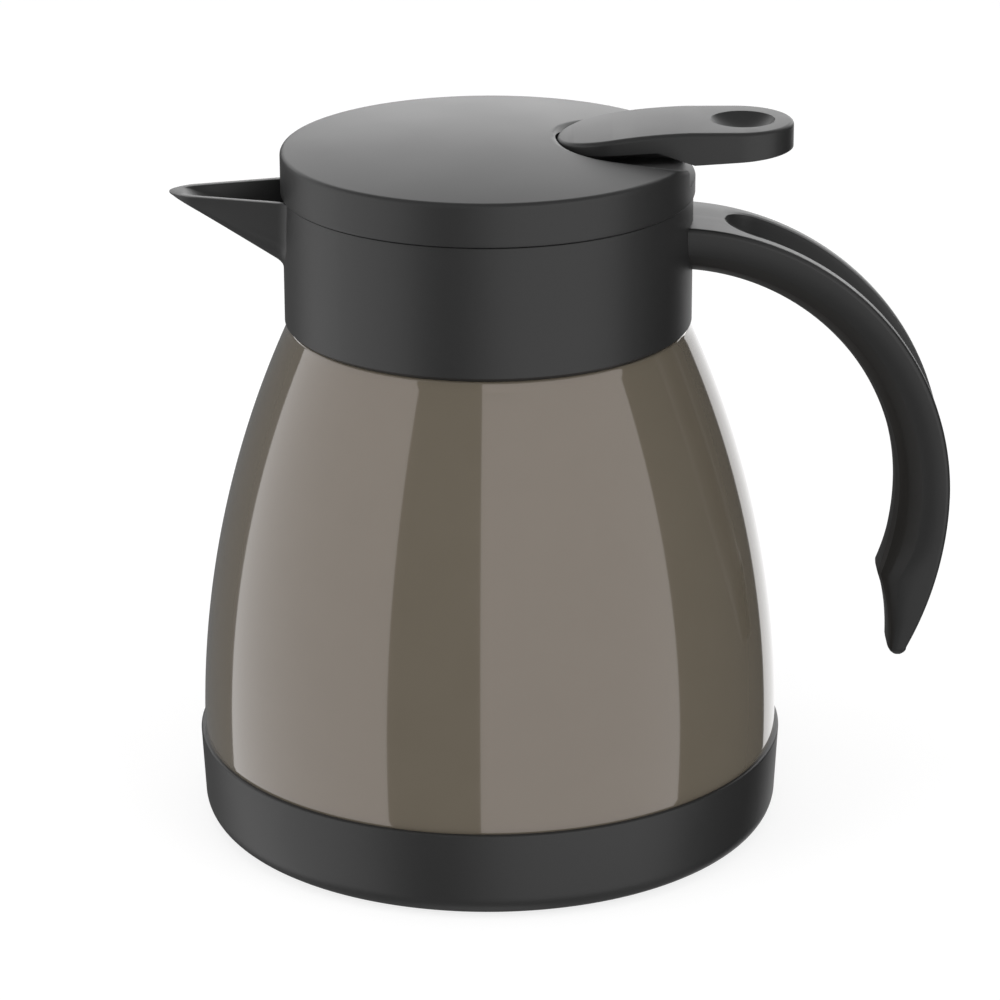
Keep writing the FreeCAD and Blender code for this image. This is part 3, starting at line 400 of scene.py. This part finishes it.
# %% [markdown]
# ## Collar and spout
#
# Collar and spout are one moulding: a ring whose wall swells forwards into a short open beak. It could be
# cut together from two solids, but then the root would be a hard corner. Here a ring is spun with its
# points crowded towards the spout, and every point is pushed out along its radius to the beak's wall.
# Where ring and beak are about equally far out, the push is blended, and this gives the soft root and an
# even lip.

# %% The beak as a formula
COLLAR_TOP = 143.1
COLLAR_WALL = 2.2
COLLAR_CHAMFER = 0.8
SPOUT_REACH = 68.9
SPOUT_ROOT = 40.5
SPOUT_ROOT_HALF = 11.9
SPOUT_ROOT_DEPTH = 18.0
SPOUT_NOSE_HALF = 5.4
SPOUT_WALL = 1.8
CHANNEL_SHARE = 0.75
SPOUT_FLANK = 0.55
SPOUT_DRAW_IN = 0.86
ROOT_BLEND = 1.6
CHANNEL_BLEND = 1.6
NO_SPOUT = 30.0

collar_inner = COLLAR_RADIUS - COLLAR_WALL
nose_start = SPOUT_REACH - SPOUT_NOSE_HALF
half_slope = (SPOUT_ROOT_HALF - SPOUT_NOSE_HALF) / (nose_start - SPOUT_ROOT)
keel_slope = SPOUT_ROOT_DEPTH / (SPOUT_REACH - SPOUT_ROOT)
keel_slant = math.hypot(1, keel_slope)


def blended(first, second, width):
    """The larger of two values, with a soft passage where they are closer than the width."""
    near = max(width - abs(first - second), 0) / width
    return max(first, second) + near * near * width / 4


def in_beak(forward, side, height, inset):
    """Whether a point lies in the beak's form, or in its channel when that is shrunk by the inset."""
    reach = SPOUT_REACH - inset
    depth = keel_slope * (SPOUT_REACH - forward) - inset * keel_slant
    if depth <= 0 or forward >= reach:
        return False
    if inset:
        depth *= CHANNEL_SHARE
    half = SPOUT_ROOT_HALF - half_slope * (forward - SPOUT_ROOT) - inset
    if forward > nose_start:
        half *= math.sqrt(max(1 - ((forward - nose_start) / (reach - nose_start)) ** 2, 0))
    share = (COLLAR_TOP - height) / depth
    if share >= 1:
        return False
    if share > SPOUT_FLANK:
        half *= SPOUT_DRAW_IN * math.sqrt(1 - ((share - SPOUT_FLANK) / (1 - SPOUT_FLANK)) ** 2)
    else:
        half *= 1 - (1 - SPOUT_DRAW_IN) * max(share, 0) / SPOUT_FLANK
    return abs(side) < half


def beak_radius(angle, height, inset):
    """How far out the beak's wall lies in one direction, with the angle measured from the spout."""
    near, far = NO_SPOUT, SPOUT_REACH
    if not in_beak(near * math.cos(angle), near * math.sin(angle), height, inset):
        return near
    for _ in range(24):
        middle = (near + far) / 2
        if in_beak(middle * math.cos(angle), middle * math.sin(angle), height, inset):
            near = middle
        else:
            far = middle
    return near


print("spout reaches", round(beak_radius(0, COLLAR_TOP, 0), 2), "mm from the axis")

# %% Collar with its spout
PLATE_TOP = 129.0
PLATE_UNDER = 126.6
HUB_INNER = 36.3
HUB_OUTER = 38.5
HUB_BOTTOM = 116.6
SLEEVE_OUTER = 31.7
EDGE_ROUND = 0.3
CROWDING = 0.3
WALL_MARGIN = 1.0
SPOUT_AHEAD = math.radians(60)


def crowded(angle):
    """Draws angles, measured from the spout, together near the spout."""
    share = angle / math.pi
    return math.pi * (CROWDING * share + (1 - CROWDING) * share ** 3)


def swell(piece):
    """Pushes the ring's walls out into the beak and its channel."""
    middle_wall = COLLAR_RADIUS - COLLAR_WALL / 2
    for vertex in piece.data.vertices:
        x, y, z = (value / MM for value in vertex.co)
        radius = math.hypot(x, y)
        angle = crowded(math.atan2(y, -x))
        height = min(z, COLLAR_TOP)
        in_channel = radius > HUB_OUTER + WALL_MARGIN and z > PLATE_UNDER + WALL_MARGIN
        if abs(angle) < SPOUT_AHEAD and radius > middle_wall:
            wall = beak_radius(angle, height, 0)
            radius += blended(COLLAR_RADIUS, wall, ROOT_BLEND) - COLLAR_RADIUS
        elif abs(angle) < SPOUT_AHEAD and in_channel:
            wall = beak_radius(angle, height, SPOUT_WALL)
            radius += blended(collar_inner, wall, CHANNEL_BLEND) - collar_inner
        vertex.co = (-radius * math.cos(angle) * MM, radius * math.sin(angle) * MM, z * MM)


collar_profile = [
    (COLLAR_RADIUS - COLLAR_CHAMFER, COLLAR_BOTTOM),
    *run((COLLAR_RADIUS, COLLAR_BOTTOM + COLLAR_CHAMFER), (COLLAR_RADIUS, COLLAR_TOP - EDGE_ROUND), 50),
    *bow((COLLAR_RADIUS - EDGE_ROUND, COLLAR_TOP - EDGE_ROUND), EDGE_ROUND, 0, 90, 4),
    *bow((collar_inner + EDGE_ROUND, COLLAR_TOP - EDGE_ROUND), EDGE_ROUND, 90, 180, 4),
    *run((collar_inner, COLLAR_TOP - 2 * EDGE_ROUND), (collar_inner, PLATE_TOP), 24),
    (collar_inner, PLATE_TOP),
    (SLEEVE_OUTER, PLATE_TOP),
    (SLEEVE_OUTER, PLATE_UNDER),
    (HUB_INNER, PLATE_UNDER),
    (HUB_INNER, HUB_BOTTOM),
    (HUB_OUTER, HUB_BOTTOM),
    (HUB_OUTER, PLATE_UNDER),
    (collar_inner, PLATE_UNDER),
    (collar_inner, COLLAR_BOTTOM),
    (COLLAR_RADIUS - COLLAR_CHAMFER, COLLAR_BOTTOM),
]
collar_ring = spun("collar_ring", collar_profile, steps=480)
swell(collar_ring)
smooth(collar_ring, 40)
dress(collar_ring, "black_plastic", "jug", "collar")

# %% [markdown]
# ## Lid
#
# The lid is a low dome with a tight edge. Along the lever it sinks into a soft dish, which starts at the
# lever's nose and grows wider and deeper towards the edge. Here the dome and its hollow underside are
# spun together, and each point of the top is lowered by its distance from the lever's slot. The slot
# itself is cut out last.

# %% The dish as a formula
LID_RADIUS = 44.7
LID_BOTTOM = 143.2
LID_RIM = 152.6
DOME_TOP = 155.5
LID_EDGE = 1.0
LID_WALL = 2.0
LID_FOOT_ROUND = 0.3
LEVER_HALF = 12.2
LEVER_START = 14.8
SLOT_GAP = 0.3
SLOT_FLOOR = 146.7
DISH_LEAD = 0.5
DISH_WIDTH = 8.0
DISH_DEPTH = 3.1
DISH_RELIEF = 0.42
DISH_CURVE = 1.1

slot_half = LEVER_HALF + SLOT_GAP
slot_start = LEVER_START - SLOT_GAP
dome_half = LID_RADIUS - LID_EDGE
dome_rise = DOME_TOP - LID_RIM
dome_arc = (dome_half ** 2 + dome_rise ** 2) / (2 * dome_rise)


def dome(radius):
    """The height of the dome at a distance from the axis."""
    return DOME_TOP - dome_arc + math.sqrt(dome_arc ** 2 - radius ** 2)


def in_stadium(x, y, half):
    """How far inside the slot's outline a point lies, the slot widened or narrowed to that half width."""
    nose = LEVER_START + LEVER_HALF
    return half - (math.hypot(x - nose, y) if x < nose else abs(y))


def lid_top(x, y, level):
    """The lid's surface at a place where the dome alone would have that level."""
    dish_start = slot_start - DISH_LEAD
    along = math.sqrt(max(x - dish_start, 0) / (LID_RADIUS - dish_start))
    if along == 0:
        return level
    away = max(-in_stadium(x, y, slot_half), 0) / (DISH_WIDTH * along)
    depth = DISH_DEPTH * along * (1 - DISH_RELIEF * along ** 4)
    return level - depth * max(1 - away, 0) ** DISH_CURVE


# %% Lid cap
POCKET_SKIN = 1.5
POCKET_CHEEK = 2.6
POCKET_EDGE = 0.8
RINGS = 90
TOUCH = 0.01


def sink(piece):
    """Lowers the lid's top, its edge and its ceiling to the dish, and the ceiling to the lever's pocket."""
    for vertex in piece.data.vertices:
        x, y, z = (value / MM for value in vertex.co)
        radius = math.hypot(x, y)
        if z < LID_BOTTOM + TOUCH:
            continue
        inside = radius < LID_RADIUS - LID_WALL + TOUCH and z < dome(radius) - LID_WALL / 2
        if inside:
            ceiling = lid_top(x, y, dome(radius)) - LID_WALL
            pocket = in_stadium(x, y, slot_half + POCKET_CHEEK)
            if pocket > 0:
                drop = min(pocket / POCKET_EDGE, 1)
                ceiling += (min(SLOT_FLOOR - POCKET_SKIN, ceiling) - ceiling) * drop
            rise = (z - LID_BOTTOM) / (dome(radius) - LID_WALL - LID_BOTTOM)
            z = LID_BOTTOM + (ceiling - LID_BOTTOM) * min(rise, 1)
        elif radius <= dome_half:
            z = lid_top(x, y, z)
        else:
            edge = lid_top(x * dome_half / radius, y * dome_half / radius, LID_RIM)
            z = LID_BOTTOM + (z - LID_BOTTOM) * (edge - LID_BOTTOM) / (LID_RIM - LID_BOTTOM)
        vertex.co.z = z * MM


lid_inner = LID_RADIUS - LID_WALL
top_rings = [(dome_half * ring / RINGS, dome(dome_half * ring / RINGS)) for ring in range(RINGS)]
ceiling_rings = [(lid_inner * ring / RINGS, dome(lid_inner * ring / RINGS) - LID_WALL)
                 for ring in range(RINGS, -1, -1)]
lid_profile = [
    *top_rings,
    *bow((dome_half, LID_RIM - LID_EDGE), LID_EDGE, 90, 0, 6),
    *run((LID_RADIUS, LID_RIM - 1.5 * LID_EDGE), (LID_RADIUS, LID_BOTTOM), 8),
    *bow((LID_RADIUS - LID_FOOT_ROUND, LID_BOTTOM + LID_FOOT_ROUND), LID_FOOT_ROUND, 0, -90, 3),
    (lid_inner, LID_BOTTOM),
    *ceiling_rings,
]
lid_shell = spun("lid_shell", lid_profile, steps=320)
sink(lid_shell)


# %% Slot for the lever
CUTTER_SPARE = 5.0


def stadium(name, start, half, far, low, high):
    """A bar with a round nose: a cylinder whose far half is pulled out to the bar's end."""
    bpy.ops.object.select_all(action="DESELECT")
    bpy.ops.mesh.primitive_cylinder_add(
        vertices=96, radius=half * MM, depth=(high - low) * MM,
        location=((start + half) * MM, 0, (low + high) / 2 * MM))
    piece = named(name)
    bpy.ops.object.transform_apply(location=True, rotation=True, scale=True)
    for vertex in piece.data.vertices:
        if vertex.co.x > (start + half + TOUCH) * MM:
            vertex.co.x = far * MM
    return piece


def carve(piece, tool):
    """Cuts the tool out of the piece and deletes the tool."""
    cut = piece.modifiers.new("carve", "BOOLEAN")
    cut.operation = "DIFFERENCE"
    cut.solver = "EXACT"
    cut.object = tool
    bpy.ops.object.select_all(action="DESELECT")
    bpy.context.view_layer.objects.active = piece
    piece.select_set(True)
    bpy.ops.object.modifier_apply(modifier=cut.name)
    bpy.data.objects.remove(tool, do_unlink=True)


slot_cutter = stadium("slot_cutter", slot_start, slot_half, LID_RADIUS + CUTTER_SPARE,
                      SLOT_FLOOR, DOME_TOP + CUTTER_SPARE)
carve(lid_shell, slot_cutter)
smooth(lid_shell, 35)
dress(lid_shell, "black_plastic", "lid", "lid_cap")

# %% [markdown]
# ## Thumb lever
#
# The lever's arm, barrel and fork come from the measured model. The thumb needs a deeper hollow than the
# measured one, so a copy is welded to a closed mesh and a ball is cut out of its end. The copy then
# stands for the lever.

# %% Thumb lever
LEVER_TOP = 158.6
DIMPLE_PLACE = 54.7
DIMPLE_RADIUS = 6.95
DIMPLE_DEPTH = 3.1
LEVER_WELD = 0.002

measured = frame["nodes"]["thumb_lever"]
thumb_paddle = bpy.data.objects.new("thumb_paddle", measured.data.copy())
thumb_paddle.matrix_world = measured.matrix_world
bpy.context.collection.objects.link(thumb_paddle)
bpy.ops.object.select_all(action="DESELECT")
thumb_paddle.select_set(True)
bpy.context.view_layer.objects.active = thumb_paddle
bpy.ops.mesh.customdata_custom_splitnormals_clear()
bpy.ops.object.mode_set(mode="EDIT")
bpy.ops.mesh.select_all(action="SELECT")
bpy.ops.mesh.remove_doubles(threshold=LEVER_WELD * MM)
bpy.ops.mesh.normals_make_consistent(inside=False)
bpy.ops.object.mode_set(mode="OBJECT")

ball_radius = (DIMPLE_RADIUS ** 2 + DIMPLE_DEPTH ** 2) / (2 * DIMPLE_DEPTH)
bpy.ops.object.select_all(action="DESELECT")
bpy.ops.mesh.primitive_uv_sphere_add(
    segments=96, ring_count=64, radius=ball_radius * MM,
    location=(DIMPLE_PLACE * MM, 0, (LEVER_TOP - DIMPLE_DEPTH + ball_radius) * MM))
carve(thumb_paddle, named("dimple_ball"))
smooth(thumb_paddle, 30)
dress(thumb_paddle, "black_plastic", "lever", "thumb_lever")

# %% [markdown]
# ## Handle
#
# The handle is one thick bow. It leaves the collar at the top, follows a quarter circle down, and ends in
# a short flat tail. Its inner side is round for the fingers, and a long groove for the palm runs along
# its outer side. It could be swept along a curve, but its section changes all the way, so a ring of
# points is drawn once and pulled along the bow, section by section, each ring set to the section at that
# place.

# %% Sections of the handle
BOW_CENTRE = 39.4
BOW_LEVEL = 76.0
BOW_OUTER = 61.5
BOW_INNER = 50.0
BOW_HALF = 11.5
BOW_START = 88
TAIL_OUTER_ARC = 92.0
TAIL_INNER_ARC = 60.0
TAIL_KINK = 19.9
TAIL_DROP = 37.3
TAIL_THICKNESS = 4.2
TAIL_HALF = 6.5
TAIL_STEPS = 40
TAIL_CURVE = 2.2
TAIL_TAPER = 1.3
KINK_BLEND = 18
TIP_LEAST = 0.0025
BELLY_POWER = 2.3
BELLY_END_POWER = 4.5
BELLY_STEPS = 28
BACK_ROUND = 1.0
GROOVE_LIFT = 4.5
GROOVE_TUBE = 9.2
GROOVE_START = 72
GROOVE_END = -16
GROOVE_STEPS = 18
GROOVE_LEAST = 0.01
TIP_ANGLES = (20, 40, 60, 75, 90)

groove_ring = BOW_OUTER + GROOVE_LIFT
tail_outer = BOW_CENTRE + BOW_OUTER
tail_inner = BOW_CENTRE + BOW_INNER


def ease(share):
    """Runs from 0 to 1 with a soft start and end."""
    share = min(max(share, 0), 1)
    return share * share * (3 - 2 * share)


def handle_section(half, depth, power, groove):
    """Points round one section, as (across, outwards); groove is the radius of the groove's tube there."""
    back = min(BACK_ROUND, depth / 3)
    mouth = math.sqrt(max(groove ** 2 - GROOVE_LIFT ** 2, GROOVE_LEAST))
    tube_squared = max(groove ** 2, GROOVE_LIFT ** 2 + GROOVE_LEAST)
    shore = half - back
    points = bow((-shore, depth - back), back, 180, 90, 4)
    points += run((-shore, depth), (-mouth, depth), 4)[1:]
    for step in range(GROOVE_STEPS + 1):
        across = -mouth * math.cos(math.pi * step / GROOVE_STEPS)
        points.append((across, depth + GROOVE_LIFT - math.sqrt(tube_squared - across ** 2)))
    points += run((mouth, depth), (shore, depth), 4)[1:]
    points += bow((shore, depth - back), back, 90, 0, 4)
    for step in range(1, BELLY_STEPS):
        turn = math.pi * step / BELLY_STEPS
        across = math.copysign(abs(math.cos(turn)) ** (2 / power), math.cos(turn))
        points.append((half * across, (depth - back) * (1 - math.sin(turn) ** (2 / power))))
    return points


def groove_tube(turn):
    """The groove's tube at an angle of the bow: whole between its ends, and ball-ended beyond them."""
    past = max(turn - GROOVE_START, GROOVE_END - turn, 0)
    return math.sqrt(max(GROOVE_TUBE ** 2 - (math.radians(past) * groove_ring) ** 2, 0))


def tail_walls(drop):
    """Inner and outer side of the tail, that far below the bow's level."""
    outer = tail_outer - TAIL_OUTER_ARC + math.sqrt(TAIL_OUTER_ARC ** 2 - drop ** 2)
    kink = tail_inner - TAIL_INNER_ARC + math.sqrt(TAIL_INNER_ARC ** 2 - TAIL_KINK ** 2)
    if drop <= TAIL_KINK:
        return tail_inner - TAIL_INNER_ARC + math.sqrt(TAIL_INNER_ARC ** 2 - drop ** 2), outer
    tip = tail_outer - TAIL_OUTER_ARC + math.sqrt(TAIL_OUTER_ARC ** 2 - TAIL_DROP ** 2) - TAIL_THICKNESS
    left = (TAIL_DROP - drop) / (TAIL_DROP - TAIL_KINK)
    return tip + (kink - tip) * left ** TAIL_CURVE, outer


def bow_ring(turn):
    """One ring of points round the bow at an angle in degrees."""
    angle = math.radians(turn)
    ring = []
    for across, out in handle_section(BOW_HALF, BOW_OUTER - BOW_INNER, BELLY_POWER, groove_tube(turn)):
        reach = BOW_INNER + out
        ring.append((BOW_CENTRE + reach * math.cos(angle), across, BOW_LEVEL + reach * math.sin(angle)))
    return ring


def tail_ring(drop, close=0.0):
    """One level ring round the tail; close runs from 0 to 1 over its round end."""
    inner, outer = tail_walls(drop)
    share = drop / TAIL_DROP
    half = BOW_HALF - (BOW_HALF - TAIL_HALF) * share ** TAIL_TAPER
    squarer = ease((drop - TAIL_KINK + KINK_BLEND / 2) / KINK_BLEND)
    power = BELLY_POWER + (BELLY_END_POWER - BELLY_POWER) * squarer
    turn = -math.degrees(math.atan2(drop, tail_outer - BOW_CENTRE))
    depth = outer - inner
    middle = (inner + outer) / 2
    lean = math.sqrt(max(1 - close ** 2, TIP_LEAST))
    ring = []
    for across, out in handle_section(half, depth, power, groove_tube(turn)):
        side = across * (half - depth / 2 * (1 - lean)) / half
        ring.append((middle + (inner + out - middle) * lean, side, BOW_LEVEL - drop - depth / 2 * close))
    return ring


# %% Handle
def skinned(name, rings, crease):
    """Draws the first ring as a polygon and pulls it on from ring to ring."""
    bpy.ops.object.select_all(action="DESELECT")
    bpy.ops.mesh.primitive_circle_add(vertices=len(rings[0]), radius=MM, fill_type="NGON")
    piece = named(name)
    bpy.ops.object.mode_set(mode="EDIT")
    bpy.ops.mesh.select_all(action="SELECT")
    for _ in rings[1:]:
        bpy.ops.mesh.extrude_region_move(TRANSFORM_OT_translate={"value": (0, 0, MM)})
    bpy.ops.object.mode_set(mode="OBJECT")
    count = len(rings[0])
    for vertex in piece.data.vertices:
        ring = rings[min(round(vertex.co.z / MM), len(rings) - 1)]
        step = round(math.atan2(vertex.co.y, vertex.co.x) / (2 * math.pi) * count) % count
        vertex.co = [value * MM for value in ring[step]]
    bpy.ops.object.mode_set(mode="EDIT")
    bpy.ops.mesh.select_all(action="SELECT")
    bpy.ops.mesh.normals_make_consistent(inside=False)
    bpy.ops.object.mode_set(mode="OBJECT")
    smooth(piece, crease)
    return piece


handle_rings = [bow_ring(half / 2) for half in range(2 * BOW_START, 0, -1)]
handle_rings += [tail_ring(TAIL_DROP * step / TAIL_STEPS) for step in range(TAIL_STEPS + 1)]
handle_rings += [tail_ring(TAIL_DROP, math.sin(math.radians(angle))) for angle in TIP_ANGLES]
bow_handle = skinned("bow_handle", handle_rings, 40)
dress(bow_handle, "black_plastic", "jug", "handle")

# %% [markdown]
# ## Socket and threads
#
# Inside the collar a boss takes the handle's tenon and its screws. The stopper has a thread of three
# short ribs, and the neck sleeve has three more between them. Each rib is one small section, pulled along
# its helix, and its ends run out. Both threads follow the same lead as the lid's motion, so they pass
# each other freely.

# %% Handle's socket
SOCKET_NEAR = 37.35
SOCKET_FAR = 43.2
SOCKET_HALF = 9.95
SOCKET_LOW = 127.8
SOCKET_HIGH = 137.75
SOCKET_EDGE = 0.5

bpy.ops.object.select_all(action="DESELECT")
bpy.ops.mesh.primitive_cube_add(
    size=MM, location=((SOCKET_NEAR + SOCKET_FAR) / 2 * MM, 0, (SOCKET_LOW + SOCKET_HIGH) / 2 * MM),
    scale=(SOCKET_FAR - SOCKET_NEAR, 2 * SOCKET_HALF, SOCKET_HIGH - SOCKET_LOW))
handle_socket = named("handle_socket")
bpy.ops.object.transform_apply(location=True, rotation=True, scale=True)
bpy.ops.object.mode_set(mode="EDIT")
bpy.ops.mesh.select_all(action="SELECT")
bpy.ops.mesh.bevel(offset=SOCKET_EDGE * MM, segments=3, affect="EDGES")
bpy.ops.object.mode_set(mode="OBJECT")
smooth(handle_socket, 40)
dress(handle_socket, "black_plastic", "jug")

# %% Threads
THREAD_LEAD = 18.0
THREAD_STARTS = 3
RIB_SPAN = 105
RIB_STEPS = 70
RIB_FADE = 14
RIB_END = 0.1
RIB_FOOT = 1.3
RIB_CREST = 0.7
STOPPER_ROOT = 27.6
STOPPER_CREST = 28.6
STOPPER_LOW = 115.0
SLEEVE_ROOT = 29.7
SLEEVE_CREST = 28.7
SLEEVE_LOW = 121.0


def rib(name, root, crest, low, start):
    """One rib from its root radius to its crest, rising from a height at an angle in degrees."""
    rings = []
    for step in range(RIB_STEPS + 1):
        turn = RIB_SPAN * step / RIB_STEPS
        rise = low + THREAD_LEAD * turn / 360
        full = ease(min(turn, RIB_SPAN - turn) / RIB_FADE)
        tip = root + (crest - root) * (RIB_END + (1 - RIB_END) * full)
        angle = math.radians(start + turn)
        section = [(root, -RIB_FOOT), (tip, -RIB_CREST), (tip, RIB_CREST), (root, RIB_FOOT)]
        rings.append([(reach * math.cos(angle), reach * math.sin(angle), rise + up)
                      for reach, up in section])
    return skinned(name, rings, 30)


def thread(name, root, crest, low, start, body):
    """Three ribs, joined to one piece."""
    ribs = [rib(f"{name}_{turn}", root, crest, low, start + turn)
            for turn in range(0, 360, 360 // THREAD_STARTS)]
    bpy.ops.object.select_all(action="DESELECT")
    for piece in ribs:
        piece.select_set(True)
    bpy.context.view_layer.objects.active = ribs[0]
    bpy.ops.object.join()
    dress(named(name), "black_plastic", body)


thread("stopper_thread", STOPPER_ROOT, STOPPER_CREST, STOPPER_LOW, 0, "lid")
thread("sleeve_thread", SLEEVE_ROOT, SLEEVE_CREST, SLEEVE_LOW, 180 // THREAD_STARTS, "jug")

# %% [markdown]
# ## Seals and spring
#
# The seals are soft rings with rounded edges, so they are spun from small rounded profiles. The spring is
# one wire: a line is drawn along its turns, gets the wire's thickness and becomes a mesh.

# %% Seals
SEAL_SOFT = 0.3


def seal(name, inner, outer, low, high, body, node):
    """A ring of silicone with soft edges, from its two radii and its lower and upper face."""
    soft = min(outer - inner, high - low) * SEAL_SOFT
    profile = [
        *bow((outer - soft, low + soft), soft, -90, 0, 5),
        *bow((outer - soft, high - soft), soft, 0, 90, 5),
        *bow((inner + soft, high - soft), soft, 90, 180, 5),
        *bow((inner + soft, low + soft), soft, 180, 270, 5),
        (outer - soft, low),
    ]
    dress(spun(name, profile, steps=128), "silicone", body, node)


seal("neck_ring", SLEEVE_OUTER, NECK_RADIUS, 125.0, PLATE_UNDER, "jug", "collar_seal")
seal("stopper_ring", 29.2, 33.5, 130.2, 131.7, "gasket", "stopper_gasket")
seal("stem_ring", 2.5, 4.2, 137.6, 139.1, "lid", "stem_seal")
seal("valve_ring", 2.4, 11.0, 114.6, 115.9, "valve", "valve_seal")

# %% Valve spring
SPRING_RADIUS = 4.6
WIRE_RADIUS = 0.5
SPRING_LOW = 118.3
SPRING_HIGH = 137.0
SPRING_TURNS = 6
SPRING_STEPS = 240

bpy.ops.object.select_all(action="DESELECT")
bpy.ops.curve.primitive_nurbs_path_add()
wire = named("valve_coil")
wire.data.splines.clear()
line = wire.data.splines.new("POLY")
line.points.add(SPRING_STEPS)
for step, point in enumerate(line.points):
    share = step / SPRING_STEPS
    turn = 2 * math.pi * SPRING_TURNS * share
    height = SPRING_LOW + (SPRING_HIGH - SPRING_LOW) * share
    point.co = (SPRING_RADIUS * math.cos(turn) * MM, SPRING_RADIUS * math.sin(turn) * MM, height * MM, 1)
wire.data.dimensions = "3D"
wire.data.bevel_depth = WIRE_RADIUS * MM
wire.data.bevel_resolution = 4
wire.data.use_fill_caps = True
bpy.ops.object.convert(target="MESH")
wire = named("valve_coil")
smooth(wire, 50)
dress(wire, "spring_steel", "lid", "valve_spring")
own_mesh(wire)

# %% [markdown]
# ## Studio
#
# A glossy jug shows the studio more than itself. Dark and light walls stand far round it: the paint
# mirrors them as bands. They are seen only by mirror rays. Soft lamps light the colours evenly, and a
# white floor keeps a faint shadow under the foot.

# %% Walls that the paint mirrors
WALL_DISTANCE = 3.0
WALL_STEP = 1.0
JUG_MIDDLE = 0.08


def glow(name, strength):
    """A surface that only gives off light."""
    material = bpy.data.materials.new(name)
    material.use_nodes = True
    tree = material.node_tree
    tree.nodes.clear()
    output = add(tree, "ShaderNodeOutputMaterial")
    lamp = add(tree, "ShaderNodeEmission", Color=(1, 1, 1, 1), Strength=strength)
    tree.links.new(lamp.outputs[0], output.inputs["Surface"])
    return material


def wall(name, start, end, low, high, strength):
    """A curved wall between two angles from the camera's side and two elevations, all in degrees."""
    bpy.ops.object.select_all(action="DESELECT")
    columns = max(round((end - start) / WALL_STEP), 1)
    bpy.ops.mesh.primitive_grid_add(x_subdivisions=columns, y_subdivisions=1, size=2)
    sheet = named(name)
    for vertex in sheet.data.vertices:
        angle = math.radians(start + (end - start) * (vertex.co.x + 1) / 2)
        rise = math.radians(low + (high - low) * (vertex.co.y + 1) / 2)
        vertex.co = (WALL_DISTANCE * math.sin(angle), -WALL_DISTANCE * math.cos(angle),
                     JUG_MIDDLE + WALL_DISTANCE * math.tan(rise))
    sheet.data.materials.append(glow(name, strength))
    for kind in ("camera", "diffuse", "shadow", "transmission", "volume_scatter"):
        setattr(sheet, f"visible_{kind}", False)


wall("dark_floor", -180, 180, -80, -45, 0.25)
wall("dark_wall_left", -180, -124, -45, 2, 0.15)
wall("dark_wall_left_high", -172, -124, 2, 14, 0.15)
wall("light_wall_left", -124, -40, -45, 30, 1.26)
wall("dark_wall_front", -40, -3.5, -45, 30, 0.1)
wall("light_wall_front", -3.5, 79.5, -45, 30, 1.25)
wall("dark_wall_right", 79.5, 134, -45, 30, 0.05)
wall("dark_wall_right_end", 134, 143, -45, 14, 0.05)
wall("bright_wall_back", 143, 180, -45, 2, 1.0)
wall("bright_wall_low", 143, 188, 2, 14, 3.0)
wall("bright_wall_middle", 134, 226, 14, 26, 2.1)
wall("bright_wall_high", 134, 226, 26, 45, 1.4)
wall("dark_wall_high", -134, 134, 30, 45, 0.3)
wall("dark_roof", -180, 180, 45, 85, 0.3)

# %% Sky, lamps and floor
AMBIENT = 0.62
FLOOR_GLOW = 0.8
FLOOR_SHADE = 0.28
FLOOR_RADIUS = 2.0

world = bpy.data.worlds.new("studio")
bpy.context.scene.world = world
world.use_nodes = True
sky = world.node_tree
sky.nodes.clear()
sky_output = add(sky, "ShaderNodeOutputWorld")
ray = add(sky, "ShaderNodeLightPath")
seen = add(sky, "ShaderNodeMath", {"operation": "MAXIMUM"},
           i0=ray.outputs["Is Camera Ray"], i1=ray.outputs["Is Glossy Ray"])
seen = add(sky, "ShaderNodeMath", {"operation": "MAXIMUM"},
           i0=seen.outputs[0], i1=ray.outputs["Is Transmission Ray"])
level = add(sky, "ShaderNodeMapRange", Value=seen.outputs[0], To_Min=AMBIENT, To_Max=1.0)
back = add(sky, "ShaderNodeBackground", Color=(1, 1, 1, 1), Strength=level.outputs[0])
sky.links.new(back.outputs[0], sky_output.inputs["Surface"])


def softbox(name, angle, rise, distance, size, light):
    """A square lamp that looks at the jug and gives a white card facing it that much light."""
    data = bpy.data.lights.new(name, "AREA")
    data.size = size
    data.energy = light * math.pi ** 2 * distance ** 2
    lamp = bpy.data.objects.new(name, data)
    bpy.context.collection.objects.link(lamp)
    turn = Matrix.Rotation(math.radians(angle), 3, "Z") @ Matrix.Rotation(math.radians(90 - rise), 3, "X")
    aim = turn @ Matrix.Identity(3).col[2]
    lamp.location = (aim.x * distance, aim.y * distance, JUG_MIDDLE + aim.z * distance)
    lamp.rotation_euler = turn.to_euler()
    lamp.visible_glossy = False
    lamp.visible_camera = False


softbox("softbox_left", -60, 35, 1.5, 0.9, 0.22)
softbox("softbox_right", 50, 35, 1.5, 0.9, 0.22)
softbox("softbox_top", 0, 85, 1.4, 0.9, 0.15)

bpy.ops.object.select_all(action="DESELECT")
bpy.ops.mesh.primitive_circle_add(vertices=96, radius=FLOOR_RADIUS, fill_type="NGON")
floor = named("studio_floor")
material, tree, output, place = finish("white_studio_floor")
paper = add(tree, "ShaderNodeTexNoise", Vector=place, Scale=per_metre(40), Detail=2.0)
tone = add(tree, "ShaderNodeMapRange", Value=paper.outputs[0], To_Min=0.98, To_Max=1.0)
shade = add(tree, "ShaderNodeBsdfDiffuse", Color=(FLOOR_SHADE, FLOOR_SHADE, FLOOR_SHADE, 1))
light = add(tree, "ShaderNodeEmission", Color=tone.outputs[0], Strength=FLOOR_GLOW)
both = add(tree, "ShaderNodeAddShader", i0=shade.outputs[0], i1=light.outputs[0])
tree.links.new(both.outputs[0], output.inputs["Surface"])
floor.data.materials.append(material)
floor.visible_glossy = False

bpy.context.scene.view_settings.view_transform = "Standard"
print("studio ready")
